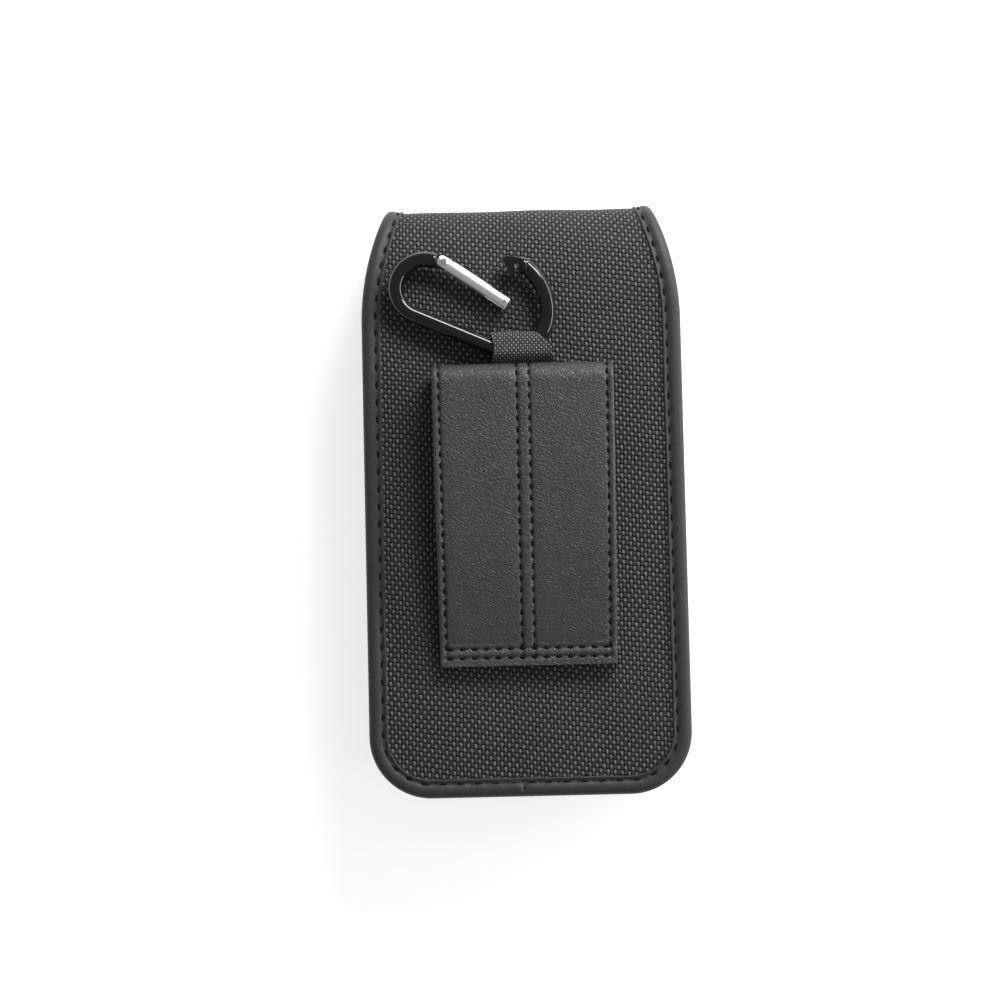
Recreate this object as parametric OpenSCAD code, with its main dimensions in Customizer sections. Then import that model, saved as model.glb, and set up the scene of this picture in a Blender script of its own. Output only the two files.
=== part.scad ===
// Phone belt holster: a stiffened nylon pouch bound in leatherette, with a flap that folds over
// its mouth, a belt loop on its back and a carabiner on a webbing tab.
// It lies on its flap with its back up: +Y runs from the closed bottom to the fold of the flap,
// +Z out of the back. The origin is the middle of the surface that it lies on.

/* [Holster] */
// Overall height, from the bottom edge to the top of the fold
holster_h = 171.2; // [162:0.2:190]
// Overall width of the back panel
holster_w = 92; // [84:1:104]
// Overall depth, from the face of the flap to the face of the back, without the belt loop
holster_d = 28; // [25:0.5:32]
// Radius of the back panel's bottom corners
corner_r = 17.7; // [14:0.1:24]
// How much narrower each side of the back panel is at the fold
fold_taper = 7.1; // [4:0.1:9]
// Length over which the back panel narrows towards the fold
fold_taper_len = 35; // [28:1:42]
// Length of back panel that the fold takes up before its top
fold_reach = 29; // [24:0.5:32]

/* [Plies] */
// Thickness of the outer nylon
shell_t = 0.9; // [0.6:0.05:1.2]
// Thickness of the stiffening board, and of the foam that replaces it in the fold
board_t = 1.2; // [0.8:0.05:1.5]
// Thickness of the lining
lining_t = 0.5; // [0.3:0.05:0.8]
// Gap left between plies
ply_gap = 0.05; // [0.03:0.01:0.08]

/* [Binding] */
// Thickness of the leatherette tape
tape_t = 0.6; // [0.4:0.05:0.8]
// Width of tape that shows on the outside
tape_w = 5.4; // [4.4:0.1:6.4]
// Width of tape turned to the inside
tape_inner_w = 4.6; // [3.6:0.1:4.8]
// Distance from the bound edge to the edge of the plies inside it
tape_core = 1.25; // [1.1:0.05:1.5]

/* [Pouch] */
// How far the front panel is set in from the edge of the back panel
front_inset = 4; // [3:0.25:6]
// Distance from the top of the fold down to the mouth of the pouch
mouth_drop = 28; // [26:0.5:34]
// Thickness of the gusset wall
gusset_t = 1.2; // [0.8:0.1:1.6]
// Width of front binding tape that lies outside the gusset
gusset_edge = 1; // [0.8:0.1:1.2]

/* [Flap] */
// Length of the flap, from the top of the fold to its end
flap_len = 62.2; // [56:0.2:74]
// How far the flap is set in from the edge of the back panel, on each side
flap_inset = 2.5; // [1:0.25:5]
// Radius of the flap's end corners
flap_corner_r = 18; // [12:0.5:24]
// Space between the closed flap and the front of the pouch
flap_gap = 0.6; // [0.4:0.1:1]
// Diameter of the closing magnets
magnet_d = 14; // [10:0.5:18]
// Distance from the end of the flap to the middle of the magnets
magnet_in = 14; // [12:0.5:18]
// Clearance round a magnet in its board
magnet_clear = 0.1; // [0.05:0.05:0.3]

/* [Belt loop] */
// Width of the belt loop at its sewn end
loop_w = 50.4; // [44:0.2:58]
// How much wider the belt loop is at its folded end
loop_flare = 1.4; // [0:0.1:2]
// Height of the belt loop
loop_h = 85.8; // [76:0.2:94]
// Distance from the bottom of the holster to the belt loop
loop_up = 37.2; // [32:0.2:44]
// Thickness of each leg of the belt loop
loop_t = 1.8; // [1.4:0.1:2.2]
// Widest gap between the legs, for the belt
belt_gap = 6.6; // [5:0.2:8]
// Height of the sewn bottom seam
loop_seam = 6.5; // [5:0.5:9]

/* [Tab] */
// Width of the webbing tab that holds the carabiner
tab_w = 17; // [14:0.5:20]
// Thickness of the webbing
tab_t = 0.7; // [0.6:0.05:0.8]
// Slack of the tab beyond the bar that it holds
tab_slack = 2.6; // [2.2:0.1:3]
// Length of tab caught under the belt loop
tab_tail = 12; // [8:0.5:16]
// Clearance between the tab and the bar
tab_clear = 0.15; // [0.1:0.05:0.2]

/* [Carabiner] */
// Diameter of the bar
bar_d = 4.5; // [4:0.1:4.8]
// Radius of the narrow bend at the hinge end, to the middle of the bar
hinge_bend_r = 8.3; // [7.5:0.1:9]
// Radius of the bend that the tab holds
tab_bend_r = 11.2; // [10.4:0.1:12]
// Radius of the wide bend up to the nose
nose_bend_r = 17.2; // [16:0.1:18]
// Length of the straight spine
spine_len = 25; // [23:0.5:26.5]
// Slope of the spine across the holster
spine_slope = 23.8; // [20:0.2:26]
// Distance of the tab bend's centre from the holster's centre line, to the left
ring_left = 3.4; // [2.6:0.1:4.6]
// Space between the belt loop's fold and the bar
ring_clear = 1.9; // [1.2:0.1:2.6]
// Length of straight bar between the narrow bend and the gate's pin
hinge_stub = 3.9; // [3.6:0.1:5]
// Thickness of the tongue and of the nose hook
tongue_t = 2; // [1.6:0.1:2.1]

/* [Gate] */
// Diameter of the gate
gate_d = 4; // [3.8:0.1:4.2]
// Length of the gate from its hinge pin to its latch pin
gate_len = 20.7; // [20.2:0.1:21.2]
// How far the gate is held open, as it lies
gate_open = 31.1; // [26:0.1:34]
// Direction of the closed gate across the holster
gate_closed_dir = -3.5; // [-5:0.1:0]
// Diameter of the hinge pin
hinge_pin_d = 1.5; // [1.2:0.05:1.7]
// Diameter of the latch pin
latch_pin_d = 1; // [0.8:0.05:1.2]
// Clearance of the gate's slots on the tongue and hook, on each side
slot_clear = 0.15; // [0.1:0.01:0.2]
// Running clearance of the hinge pin, on the radius
pin_clear = 0.05; // [0.03:0.01:0.08]
// Wire diameter of the gate spring
spring_wire = 0.35; // [0.25:0.05:0.4]

/* [Hidden] */

nylon = "#3a3a3c";
leatherette = "#474748";
board_grey = "#8d8a84";
foam_grey = "#6f7276";
lining_grey = "#55575b";
black_enamel = "#17171a";
satin_metal = "#c9cacc";

// Depth below the outer nylon face of each ply's two faces
shell_ply = [0, shell_t];
board_ply = [shell_t + ply_gap, shell_t + ply_gap + board_t];
lining_ply = [board_ply[1] + ply_gap, board_ply[1] + ply_gap + lining_t];
stack_t = lining_ply[1];
bound_t = stack_t + 2 * tape_t;

// Heights and stations of the main faces
bottom_y = -holster_h / 2;
top_y = holster_h / 2;
back_z = holster_d - tape_t;
flap_z = tape_t;
mid_z = holster_d / 2;
fold_y = top_y - tape_t - fold_reach;
fold_b = back_z - mid_z;
flap_end_y = top_y - flap_len;
mouth_y = top_y - mouth_drop;
front_rise = bound_t + flap_gap;
side_x = holster_w / 2;
fold_x = side_x - fold_taper;
flap_half_w = side_x - flap_inset;
front_x = side_x - front_inset;
front_bottom_y = bottom_y + front_inset;
front_corner_r = corner_r - front_inset;
steps_round = 8;
taper_power = 1.85;

// The fold opens at two hinge lines, each on the binding's face at this angle round the ellipse
hinge_at = 56;
hinge_gap = 0.5;
fold_steps = 7;

// Half-width of the back panel at height y, and of the flap
function back_half(y) = let(e = top_y - y)
    e >= fold_taper_len ? side_x : side_x - fold_taper * pow(1 - e / fold_taper_len, taper_power);
function flap_half(y) = let(e = top_y - y)
    e >= fold_reach ? flap_half_w
                    : flap_half_w - (flap_half_w - fold_x) * pow(1 - e / fold_reach, taper_power);

// Outward normal, and a point at depth d, at angle a round the fold, as [y, z]
function fold_n(a) = let(n = [fold_b * sin(a), fold_reach * cos(a)]) n / norm(n);
function fold_pt(a, d) = [fold_y + fold_reach * sin(a), mid_z + fold_b * cos(a)] - d * fold_n(a);
function fold_angles(a, b) = [for (i = [0 : fold_steps]) a + (b - a) * i / fold_steps];

// Outer nylon face of the pouch front: it rises under the flap, and its slope
function ease(u) = let(c = min(1, max(0, u))) c * c * (3 - 2 * c);
front_from = bottom_y + 12;
front_to = flap_end_y - 3;
function front_face(y) = tape_t + front_rise * ease((y - front_from) / (front_to - front_from));
function front_slope(y) = (front_face(y + 0.5) - front_face(y - 0.5));
front_steps = [for (i = [0 : 8]) front_from + (front_to - front_from) * i / 8];

// Half of an outline from the bottom middle up its right side, mirrored to the left
function mirrored(right) = concat(right, [for (i = [len(right) - 1 : -1 : 0]) [-right[i].x, right[i].y]]);
function corner(cx, cy, r, from, to) =
    [for (i = [0 : steps_round]) let(a = from + (to - from) * i / steps_round)
        [cx + r * cos(a), cy + r * sin(a)]];
back_taper_y = [for (i = [0 : 8]) top_y - fold_taper_len * (1 - i / 8)];

// In the fold a ply at depth d lies further in, so its sides are those of the outer face over it;
// an inset measured across the width is a little longer where the sides slant
slant = 1.07;
fold_sides = [for (i = [1 : 10]) 9 * i];
function back_outline(inset, d) = mirrored(concat(
    corner(side_x - corner_r, bottom_y + corner_r, corner_r - inset, -90, 0),
    [for (y = back_taper_y) if (y < fold_y) [back_half(y) - inset * slant, y]],
    [for (a = fold_sides) [back_half(fold_pt(a, 0).x) - inset * slant, fold_pt(a, d).x]],
    [[fold_x - inset * slant, top_y + 1]]));
function flap_outline(inset, d) = mirrored(concat(
    corner(flap_half_w - flap_corner_r, flap_end_y + flap_corner_r, flap_corner_r - inset, -90, 0),
    [for (a = fold_sides) [flap_half(fold_pt(a, 0).x) - inset * slant, fold_pt(a, d).x]],
    [[fold_x - inset * slant, top_y + 1]]));
function front_outline(inset, top) = mirrored(concat(
    corner(front_x - front_corner_r, front_bottom_y + front_corner_r, front_corner_r - inset, -90, 0),
    [[front_x - inset, top]]));

// A side profile of [y, z] points carried across the width, and an outline carried through the depth
module across(profile) {
    rotate([90, 0, 90]) linear_extrude(holster_w + 10, center = true) polygon(profile);
}
module through(outline) {
    translate([0, 0, -1]) linear_extrude(holster_d + 2) polygon(outline);
}

// Side profiles of one ply in the back, the fold and the flap
function back_profile(p) = let(a = fold_angles(0, hinge_at - hinge_gap)) concat(
    [[bottom_y, back_z - p[0]]], [for (t = a) fold_pt(t, p[0])],
    [for (i = [fold_steps : -1 : 0]) fold_pt(a[i], p[1])], [[bottom_y, back_z - p[1]]]);
function fold_profile(p) = let(a = fold_angles(hinge_at + hinge_gap, 180 - hinge_at - hinge_gap)) concat(
    [for (t = a) fold_pt(t, p[0])], [for (i = [fold_steps : -1 : 0]) fold_pt(a[i], p[1])]);
function flap_profile(p) = let(a = fold_angles(180 - hinge_at + hinge_gap, 180)) concat(
    [for (t = a) fold_pt(t, p[0])], [[flap_end_y, flap_z + p[0]]],
    [[flap_end_y, flap_z + p[1]]], [for (i = [fold_steps : -1 : 0]) fold_pt(a[i], p[1])]);
function front_profile(p) = concat(
    [[front_bottom_y, front_face(front_bottom_y) + p[0]]], [for (y = front_steps) [y, front_face(y) + p[0]]],
    [[mouth_y - tape_core, tape_t + front_rise + p[0]]], [[mouth_y - tape_core, tape_t + front_rise + p[1]]],
    [for (i = [8 : -1 : 0]) [front_steps[i], front_face(front_steps[i]) + p[1]]],
    [[front_bottom_y, front_face(front_bottom_y) + p[1]]]);

module back_ply(p) {
    intersection() {
        across(back_profile(p));
        through(back_outline(tape_core, p[1]));
    }
}
module fold_ply(p) {
    intersection() {
        across(fold_profile(p));
        union() {
            translate([0, 0, mid_z + 1]) through(back_outline(tape_core, p[1]));
            translate([0, 0, mid_z - holster_d - 1]) through(flap_outline(tape_core, p[1]));
        }
    }
}
module flap_ply(p) {
    intersection() {
        across(flap_profile(p));
        through(flap_outline(tape_core, p[1]));
    }
}
module front_ply(p) {
    intersection() {
        across(front_profile(p));
        through(front_outline(tape_core, mouth_y));
    }
}

// The tape's section: x is the distance in from the bound edge, y the depth below the outer face
roll_r = bound_t / 2;
function roll_y(x) = stack_t / 2 + sqrt(max(0, roll_r * roll_r - (roll_r - x) * (roll_r - x)));
function tape_section(outer, inner) = concat(
    [[outer, 0], [outer, -tape_t * 0.6], [outer - tape_t * 0.6, -tape_t]],
    [for (i = [0 : 6]) let(p = [roll_r, stack_t / 2] + polar(roll_r, -90 - 30 * i))
        if (i < 4 || p.x < inner - 0.1) p],
    [[inner, roll_y(min(inner, roll_r))], [inner, stack_t]],
    [[tape_core - ply_gap, stack_t], [tape_core - ply_gap, 0]]);

wide_tape = tape_section(tape_w, tape_inner_w);
narrow_tape = tape_section(tape_w, gusset_edge);

// Triangles of a tape section's end, in two fans from the corners of its hollow
roll_side = 6;
function tape_end(k) = concat([for (j = [0 : roll_side - 1]) [k - 1, j, j + 1]],
    [[k - 1, roll_side, k - 2]], [for (j = [roll_side : k - 4]) [k - 2, j, j + 1]]);

// A section carried along a path of [point, depth direction], with the edge's inner side to the left or as given
function unit(v) = v / norm(v);
module carried(path, section, end) {
    n = len(path);
    k = len(section);
    rings = [for (i = [0 : n - 1])
        let(run = path[min(i + 1, n - 1)][0] - path[max(i - 1, 0)][0],
            depth = path[i][1],
            inward = len(path[i]) > 2 ? path[i][2] : unit(cross(depth, run)))
        for (s = section) path[i][0] + s.x * inward + s.y * depth];
    sides = [for (i = [0 : n - 2], j = [0 : k - 1]) let(a = i * k + j, b = i * k + (j + 1) % k)
        each [[a, b, b + k], [a, b + k, a + k]]];
    polyhedron(rings, concat([for (f = end) reversed(f)], sides,
        [for (f = end) [for (v = f) v + (n - 1) * k]]));
}

// Path points on the back, the fold and the flap, with the direction of depth at each;
// round the fold the tape lies straight across the width, on the flat facets of the plies
down = [0, 0, -1];
up = [0, 0, 1];
function on_back(p) = [[p.x, p.y, back_z], down];
function on_flap(p) = [[p.x, p.y, flap_z], up];
function on_front(p) = [[p.x, p.y, front_face(p.y)], unit([0, -front_slope(p.y), 1])];
function on_fold(side, a) = let(p = fold_pt(a, 0), n = fold_n(a),
    half = a <= 90 ? back_half(p.x) : flap_half(p.x))
    [[side * half, p.x, p.y], [0, -n.x, -n.y], [-side * (1 + (slant - 1) * sin(a)), 0, 0]];
function reversed(list) = [for (i = [len(list) - 1 : -1 : 0]) list[i]];
function left_of(list) = [for (p = reversed(list)) [-p.x, p.y]];

back_side = concat([for (y = reversed(back_taper_y)) if (y < fold_y - 0.5) [back_half(y), y]],
    reversed(corner(side_x - corner_r, bottom_y + corner_r, corner_r, -90, 0)));
flap_side = reversed(corner(flap_half_w - flap_corner_r, flap_end_y + flap_corner_r, flap_corner_r, -90, 0));
front_side = concat([[front_x, mouth_y]], [for (y = reversed(front_steps))
        if (y > front_bottom_y + front_corner_r + 1) [front_x, y]],
    reversed(corner(front_x - front_corner_r, front_bottom_y + front_corner_r, front_corner_r, -90, 0)));

module back_shell() { color(nylon) back_ply(shell_ply); }
module back_board() { color(board_grey) back_ply(board_ply); }
module back_lining() { color(lining_grey) back_ply(lining_ply); }
module back_binding() {
    a = fold_angles(hinge_at - hinge_gap, 0);
    color(leatherette) carried(concat(
        [for (t = a) on_fold(1, t)], [for (p = back_side) on_back(p)],
        [for (p = left_of(back_side)) on_back(p)], [for (t = reversed(a)) on_fold(-1, t)]),
        wide_tape, tape_end(len(wide_tape)));
}

module fold_shell() { color(nylon) fold_ply(shell_ply); }
module fold_foam() { color(foam_grey) fold_ply(board_ply); }
module fold_lining() { color(lining_grey) fold_ply(lining_ply); }
module fold_binding() {
    a = fold_angles(180 - hinge_at - hinge_gap, hinge_at + hinge_gap);
    color(leatherette) {
        carried([for (t = a) on_fold(1, t)], wide_tape, tape_end(len(wide_tape)));
        carried([for (t = reversed(a)) on_fold(-1, t)], wide_tape, tape_end(len(wide_tape)));
    }
}

magnet_y = flap_end_y + magnet_in;
magnet_t = board_t - 0.1;
module magnet_hole(z) {
    translate([0, magnet_y, z - board_t]) cylinder(d = magnet_d + 2 * magnet_clear, h = 3 * board_t, $fn = 48);
}
module magnet(z) {
    color(satin_metal) translate([0, magnet_y, z + 0.05]) cylinder(d = magnet_d, h = magnet_t, $fn = 48);
}

module flap_shell() { color(nylon) flap_ply(shell_ply); }
module flap_board() {
    color(board_grey) difference() {
        flap_ply(board_ply);
        magnet_hole(flap_z + board_ply[0]);
    }
}
module flap_lining() { color(lining_grey) flap_ply(lining_ply); }
module flap_magnet() { magnet(flap_z + board_ply[0]); }
module flap_binding() {
    a = fold_angles(180, 180 - hinge_at + hinge_gap);
    color(leatherette) carried(concat(
        [for (t = reversed(a)) on_fold(-1, t)], [for (p = reversed(left_of(flap_side))) on_flap(p)],
        [for (p = reversed(flap_side)) on_flap(p)], [for (t = a) on_fold(1, t)]),
        wide_tape, tape_end(len(wide_tape)));
}

module front_shell() { color(nylon) front_ply(shell_ply); }
module front_board() {
    color(board_grey) difference() {
        front_ply(board_ply);
        magnet_hole(tape_t + front_rise + board_ply[0]);
    }
}
module front_lining() { color(lining_grey) front_ply(lining_ply); }
module pouch_magnet() { magnet(tape_t + front_rise + board_ply[0]); }
module front_binding() {
    color(leatherette) carried(concat(
        [for (p = reversed(left_of(front_side))) on_front(p)],
        [for (p = reversed(front_side)) on_front(p)]),
        narrow_tape, tape_end(len(narrow_tape)));
}
gusset_inset = gusset_edge + ply_gap;
module mouth_binding() {
    half = front_x - tape_w - ply_gap;
    inner_half = front_x - gusset_inset - gusset_t - ply_gap;
    color(leatherette) translate([0, mouth_y, tape_t + front_rise]) rotate([90, 0, 90]) {
        linear_extrude(2 * half, center = true)
            mirror([1, 0, 0]) polygon(wide_tape);
        linear_extrude(2 * inner_half, center = true) intersection() {
            mirror([1, 0, 0]) polygon(wide_tape);
            translate([-holster_w, stack_t]) square([2 * holster_w, bound_t]);
        }
    }
}
module gusset() {
    walls = concat([[front_bottom_y, front_face(front_bottom_y) + stack_t + ply_gap]],
        [for (y = front_steps) [y, front_face(y) + stack_t + ply_gap]],
        [[mouth_y, tape_t + front_rise + stack_t + ply_gap], [mouth_y, back_z - stack_t - ply_gap],
         [front_bottom_y, back_z - stack_t - ply_gap]]);
    color(nylon) intersection() {
        across(walls);
        difference() {
            through(front_outline(gusset_inset, mouth_y));
            through(front_outline(gusset_inset + gusset_t, mouth_y + 1));
        }
    }
}

// Belt loop: one strap folded at the top, both ends sewn down at the bottom
loop_z = back_z + ply_gap;
loop_bottom = bottom_y + loop_up;
loop_top = loop_bottom + loop_h;
loop_fold_r = belt_gap / 2 + loop_t;
fold_centre = [loop_top - loop_fold_r, loop_z + loop_fold_r];
seam_y = loop_bottom + loop_seam;
function belt_space(y) = let(u = max(0, (y - seam_y) / (fold_centre.x - seam_y)))
    belt_gap * (1 - (1 - u) * (1 - u));
leg_steps = [for (i = [0 : 10]) seam_y + (fold_centre.x - seam_y) * i / 10];
function half_round(c, r) = [for (i = [1 : 11]) let(a = -90 + 15 * i) c + r * [cos(a), sin(a)]];
module belt_loop() {
    outside = concat([[loop_bottom, loop_z], [fold_centre.x, loop_z]], half_round(fold_centre, loop_fold_r),
        [for (y = reversed(leg_steps)) [y, loop_z + 2 * loop_t + belt_space(y)]],
        [[loop_bottom, loop_z + 2 * loop_t]]);
    inside = concat([[seam_y, loop_z + loop_t], [fold_centre.x, loop_z + loop_t]],
        half_round(fold_centre, loop_fold_r - loop_t),
        [for (i = [10 : -1 : 1]) [leg_steps[i], loop_z + loop_t + belt_space(leg_steps[i])]]);
    plan = mirrored([[loop_w / 2, loop_bottom - 1], [loop_w / 2, loop_bottom], [(loop_w + loop_flare) / 2, loop_top],
                     [(loop_w + loop_flare) / 2, loop_top + 1]]);
    color(leatherette) difference() {
        intersection() {
            rotate([90, 0, 90]) linear_extrude(holster_w, center = true) difference() {
                polygon(outside);
                polygon(inside);
            }
            translate([0, 0, back_z - 1]) linear_extrude(2 * holster_d) polygon(plan);
        }
        translate([-tab_w / 2 - 0.3, tail_y - 0.3, loop_z - 1])
            cube([tab_w + 0.6, tab_tail + 1, 1 + tail_t + ply_gap]);
    }
}

// The carabiner lies flat on the back, its bar held by the tab just above the belt loop
bar_r = bar_d / 2;
tail_t = 1;
ring_z = loop_z + tab_t + tab_clear + bar_r;
tab_centre = [-ring_left, loop_top + ring_clear + bar_r + tab_bend_r];
nose_centre = tab_centre - [nose_bend_r - tab_bend_r, 0];
spine_normal = -90 - spine_slope;
function polar(r, a) = r * [cos(a), sin(a)];
spine_right = tab_centre + polar(tab_bend_r, spine_normal);
spine_left = spine_right + polar(spine_len, 180 - spine_slope);
hinge_centre = spine_left - polar(hinge_bend_r, spine_normal);
stub_dir = -14;
hinge_bend_end = 90 + stub_dir;
stub_start = hinge_centre + polar(hinge_bend_r, hinge_bend_end);
gate_pivot = stub_start + polar(hinge_stub, stub_dir);
nose_end = 50.5;

// Webbing tab: a band folded round the bar, its tail caught under the belt loop
tail_y = loop_top - tab_tail;
tab_hold_y = tab_centre.y - tab_bend_r;
module tab_band(r) {
    translate([tab_hold_y, ring_z]) circle(r, $fn = 48);
    translate([tab_hold_y + tab_slack, ring_z]) circle(r, $fn = 48);
    translate([tab_hold_y, ring_z - r]) square([tab_slack, 2 * r]);
}
module carabiner_tab() {
    top = tab_hold_y + tab_slack + bar_r + tab_clear + tab_t;
    bar_out = tab_w * 0.15;
    color(nylon) difference() {
        rotate([90, 0, 90]) linear_extrude(tab_w, center = true) difference() {
            union() {
                tab_band(bar_r + tab_clear + tab_t);
                translate([tail_y, loop_z]) square([tab_hold_y - tail_y, tail_t]);
            }
            tab_band(bar_r + tab_clear);
        }
        // The bar leaves through the fold, and the corner over it is turned in
        translate([bar_out, tab_hold_y + tab_slack, ring_z - bar_r - tab_clear])
            cube([tab_w, 2 * bar_d, bar_d + 2 * tab_clear]);
        translate([0, 0, loop_z - 1]) linear_extrude(3 * bar_d)
            polygon([[tab_w * 0.28, top + 1], [tab_w, top + 1], [tab_w, tab_hold_y + 1],
                     [tab_w / 2, tab_hold_y + 1], [tab_w * 0.28, top]]);
    }
}

// The ring's middle line, from the hinge stub round to the nose, as [point, depth direction]
function arc_points(centre, r, from, to, n) = [for (i = [0 : n]) centre + polar(r, from + (to - from) * i / n)];
stub_end = gate_pivot - polar(1.2, stub_dir);
ring_line = concat([stub_end], arc_points(hinge_centre, hinge_bend_r, hinge_bend_end, 360 + spine_normal, 16),
    arc_points(tab_centre, tab_bend_r, spine_normal, 0, 12),
    [for (p = arc_points(nose_centre, nose_bend_r, 0, nose_end, 6)) if (p.y > nose_centre.y + 0.1) p]);
bar_section = [for (i = [0 : 17]) polar(bar_r, -20 * i)];

gate_r = gate_d / 2;
gate_tip = gate_len + 0.9;
slot_t = tongue_t + 2 * slot_clear;
closed_pin = gate_pivot + polar(gate_len, gate_closed_dir);
hook_len = 3.4;
hook_h = 5.8;
module carabiner_body() {
    collar_x = gate_pivot.x + gate_tip + 0.25;
    collar_d = bar_d + 0.6;
    ear_room = gate_r + 0.25;
    tongue_r = gate_r - 0.15;
    color(black_enamel) union() {
        difference() {
            union() {
                carried([for (p = ring_line) [[p.x, p.y, ring_z], down]], bar_section,
                        [[for (j = [0 : len(bar_section) - 1]) j]]);
                translate([collar_x, closed_pin.y, ring_z]) rotate([0, 90, 0]) {
                    cylinder(d1 = collar_d - 0.6, d2 = collar_d, h = 0.4, $fn = 48);
                    translate([0, 0, 0.4]) cylinder(d = collar_d, h = 1.4, $fn = 48);
                    translate([0, 0, 1.8]) cylinder(d1 = collar_d, d2 = bar_d, h = 0.6, $fn = 48);
                }
                // Hook plate that the latch pin drops behind
                translate([0, 0, ring_z - tongue_t / 2]) linear_extrude(tongue_t)
                    polygon([[collar_x + 1, closed_pin.y + hook_h / 2 - 0.6],
                             [closed_pin.x - hook_len + 0.4, closed_pin.y + hook_h / 2],
                             [closed_pin.x - hook_len - 0.4, closed_pin.y + hook_h / 2 - 1.4],
                             [closed_pin.x - 1.4, closed_pin.y - hook_h / 2 + 0.5],
                             [closed_pin.x, closed_pin.y - hook_h / 2],
                             [collar_x + 1, closed_pin.y - hook_h / 2 + 1]]);
            }
            // The groove that the latch pin swings up into
            translate([gate_pivot.x, gate_pivot.y, ring_z - tongue_t])
                rotate([0, 0, gate_closed_dir - 20]) rotate_extrude(angle = 20 + 1.6, $fn = 96)
                    translate([gate_len - latch_pin_d / 2 - 0.15, 0]) square([latch_pin_d + 0.3, 2 * tongue_t]);
            // Room for the round ears of the gate
            translate([gate_pivot.x, gate_pivot.y, ring_z]) cylinder(r = ear_room, h = 2 * bar_d, center = true, $fn = 48);
        }
        // Tongue between the gate's ears
        translate([gate_pivot.x, gate_pivot.y, ring_z]) difference() {
            union() {
                cylinder(r = tongue_r, h = tongue_t, center = true, $fn = 48);
                rotate([0, 0, 180 + stub_dir]) translate([0, -tongue_r, -tongue_t / 2])
                    cube([hinge_stub - 0.5, 2 * tongue_r, tongue_t]);
            }
            cylinder(d = hinge_pin_d + 0.02, h = 2 * tongue_t, center = true, $fn = 32);
        }
    }
}

module gate_hinge_pin() {
    head_h = 0.25;
    color(satin_metal) translate([gate_pivot.x, gate_pivot.y, ring_z]) {
        cylinder(d = hinge_pin_d, h = gate_d + 0.2, center = true, $fn = 32);
        for (side = [0, 1]) mirror([0, 0, side]) translate([0, 0, gate_r + 0.1])
            cylinder(d1 = hinge_pin_d + 0.6, d2 = hinge_pin_d, h = head_h, $fn = 32);
    }
}

// The gate's pieces are drawn along +X from the hinge pin and turned to where the gate lies
module at_gate() {
    translate([gate_pivot.x, gate_pivot.y, ring_z]) rotate([0, 0, gate_closed_dir - gate_open]) children();
}
spring_from = 6.6;
spring_to = 12.8;
bore_r = 1.3;
module gate_sleeve() {
    fork_in = hook_len + 3.2;
    color(satin_metal) at_gate() difference() {
        intersection() {
            rotate([0, 90, 0]) translate([0, 0, -gate_r]) cylinder(r = gate_r, h = gate_r + gate_tip, $fn = 48);
            union() {
                cylinder(r = gate_r, h = gate_d, center = true, $fn = 48);
                translate([0, -gate_r, -gate_r]) cube([gate_tip, gate_d, gate_d]);
            }
        }
        translate([-gate_r - 1, -gate_r - 1, -slot_t / 2]) cube([2 * gate_r + 1.3, gate_d + 2, slot_t]);
        translate([gate_tip - fork_in, -gate_r - 1, -slot_t / 2]) cube([fork_in + 1, gate_d + 2, slot_t]);
        rotate([0, 90, 0]) cylinder(r = bore_r, h = spring_to + 0.1, $fn = 32);
        cylinder(r = hinge_pin_d / 2 + pin_clear, h = 2 * gate_d, center = true, $fn = 32);
        translate([gate_len, 0, 0]) cylinder(d = latch_pin_d + 0.02, h = 2 * gate_d, center = true, $fn = 32);
    }
}
module gate_latch_pin() {
    half = sqrt(gate_r * gate_r - latch_pin_d * latch_pin_d / 4);
    color(satin_metal) at_gate() translate([gate_len, 0, 0])
        cylinder(d = latch_pin_d, h = 2 * half, center = true, $fn = 32);
}
spring_turns = 7;
spring_r = bore_r - 0.1 - spring_wire / 2;
module gate_spring() {
    per_turn = 12;
    count = spring_turns * per_turn;
    sides = 6;
    pitch = (spring_to - spring_from - spring_wire) / spring_turns;
    rings = [for (i = [0 : count], j = [0 : sides - 1])
        let(a = 360 * i / per_turn, b = 360 * j / sides,
            r = spring_r + spring_wire / 2 * cos(b))
        [spring_from + spring_wire / 2 + pitch * i / per_turn + spring_wire / 2 * sin(b), r * cos(a), r * sin(a)]];
    faces = [for (i = [0 : count - 1], j = [0 : sides - 1])
        let(a = i * sides + j, b = i * sides + (j + 1) % sides)
        each [[a, b, b + sides], [a, b + sides, a + sides]]];
    color(satin_metal) at_gate() polyhedron(rings,
        concat([[for (j = [sides - 1 : -1 : 0]) j]], faces, [[for (j = [0 : sides - 1]) count * sides + j]]));
}
module gate_plunger() {
    tip = gate_r + 0.1;
    color(satin_metal) at_gate() rotate([0, 90, 0]) {
        translate([0, 0, tip]) cylinder(d1 = 0.9, d2 = 1.5, h = 0.5, $fn = 32);
        translate([0, 0, tip + 0.5]) cylinder(d = 1.5, h = spring_from - tip - 1.1, $fn = 32);
        translate([0, 0, spring_from - 0.6]) cylinder(r = bore_r - 0.05, h = 0.5, $fn = 32);
    }
}

back_shell();
back_board();
back_lining();
back_binding();
gusset();
front_shell();
front_board();
front_lining();
front_binding();
mouth_binding();
pouch_magnet();
belt_loop();
carabiner_tab();
fold_shell();
fold_foam();
fold_lining();
fold_binding();
flap_shell();
flap_board();
flap_lining();
flap_binding();
flap_magnet();
carabiner_body();
gate_hinge_pin();
gate_sleeve();
gate_latch_pin();
gate_spring();
gate_plunger();
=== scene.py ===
"""Phone belt holster, lying on its flap with its back up.

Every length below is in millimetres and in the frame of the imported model; meshes are written in metres.
"""
import math

import bmesh
import bpy
import numpy as np
from mathutils import Matrix, Vector


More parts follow.
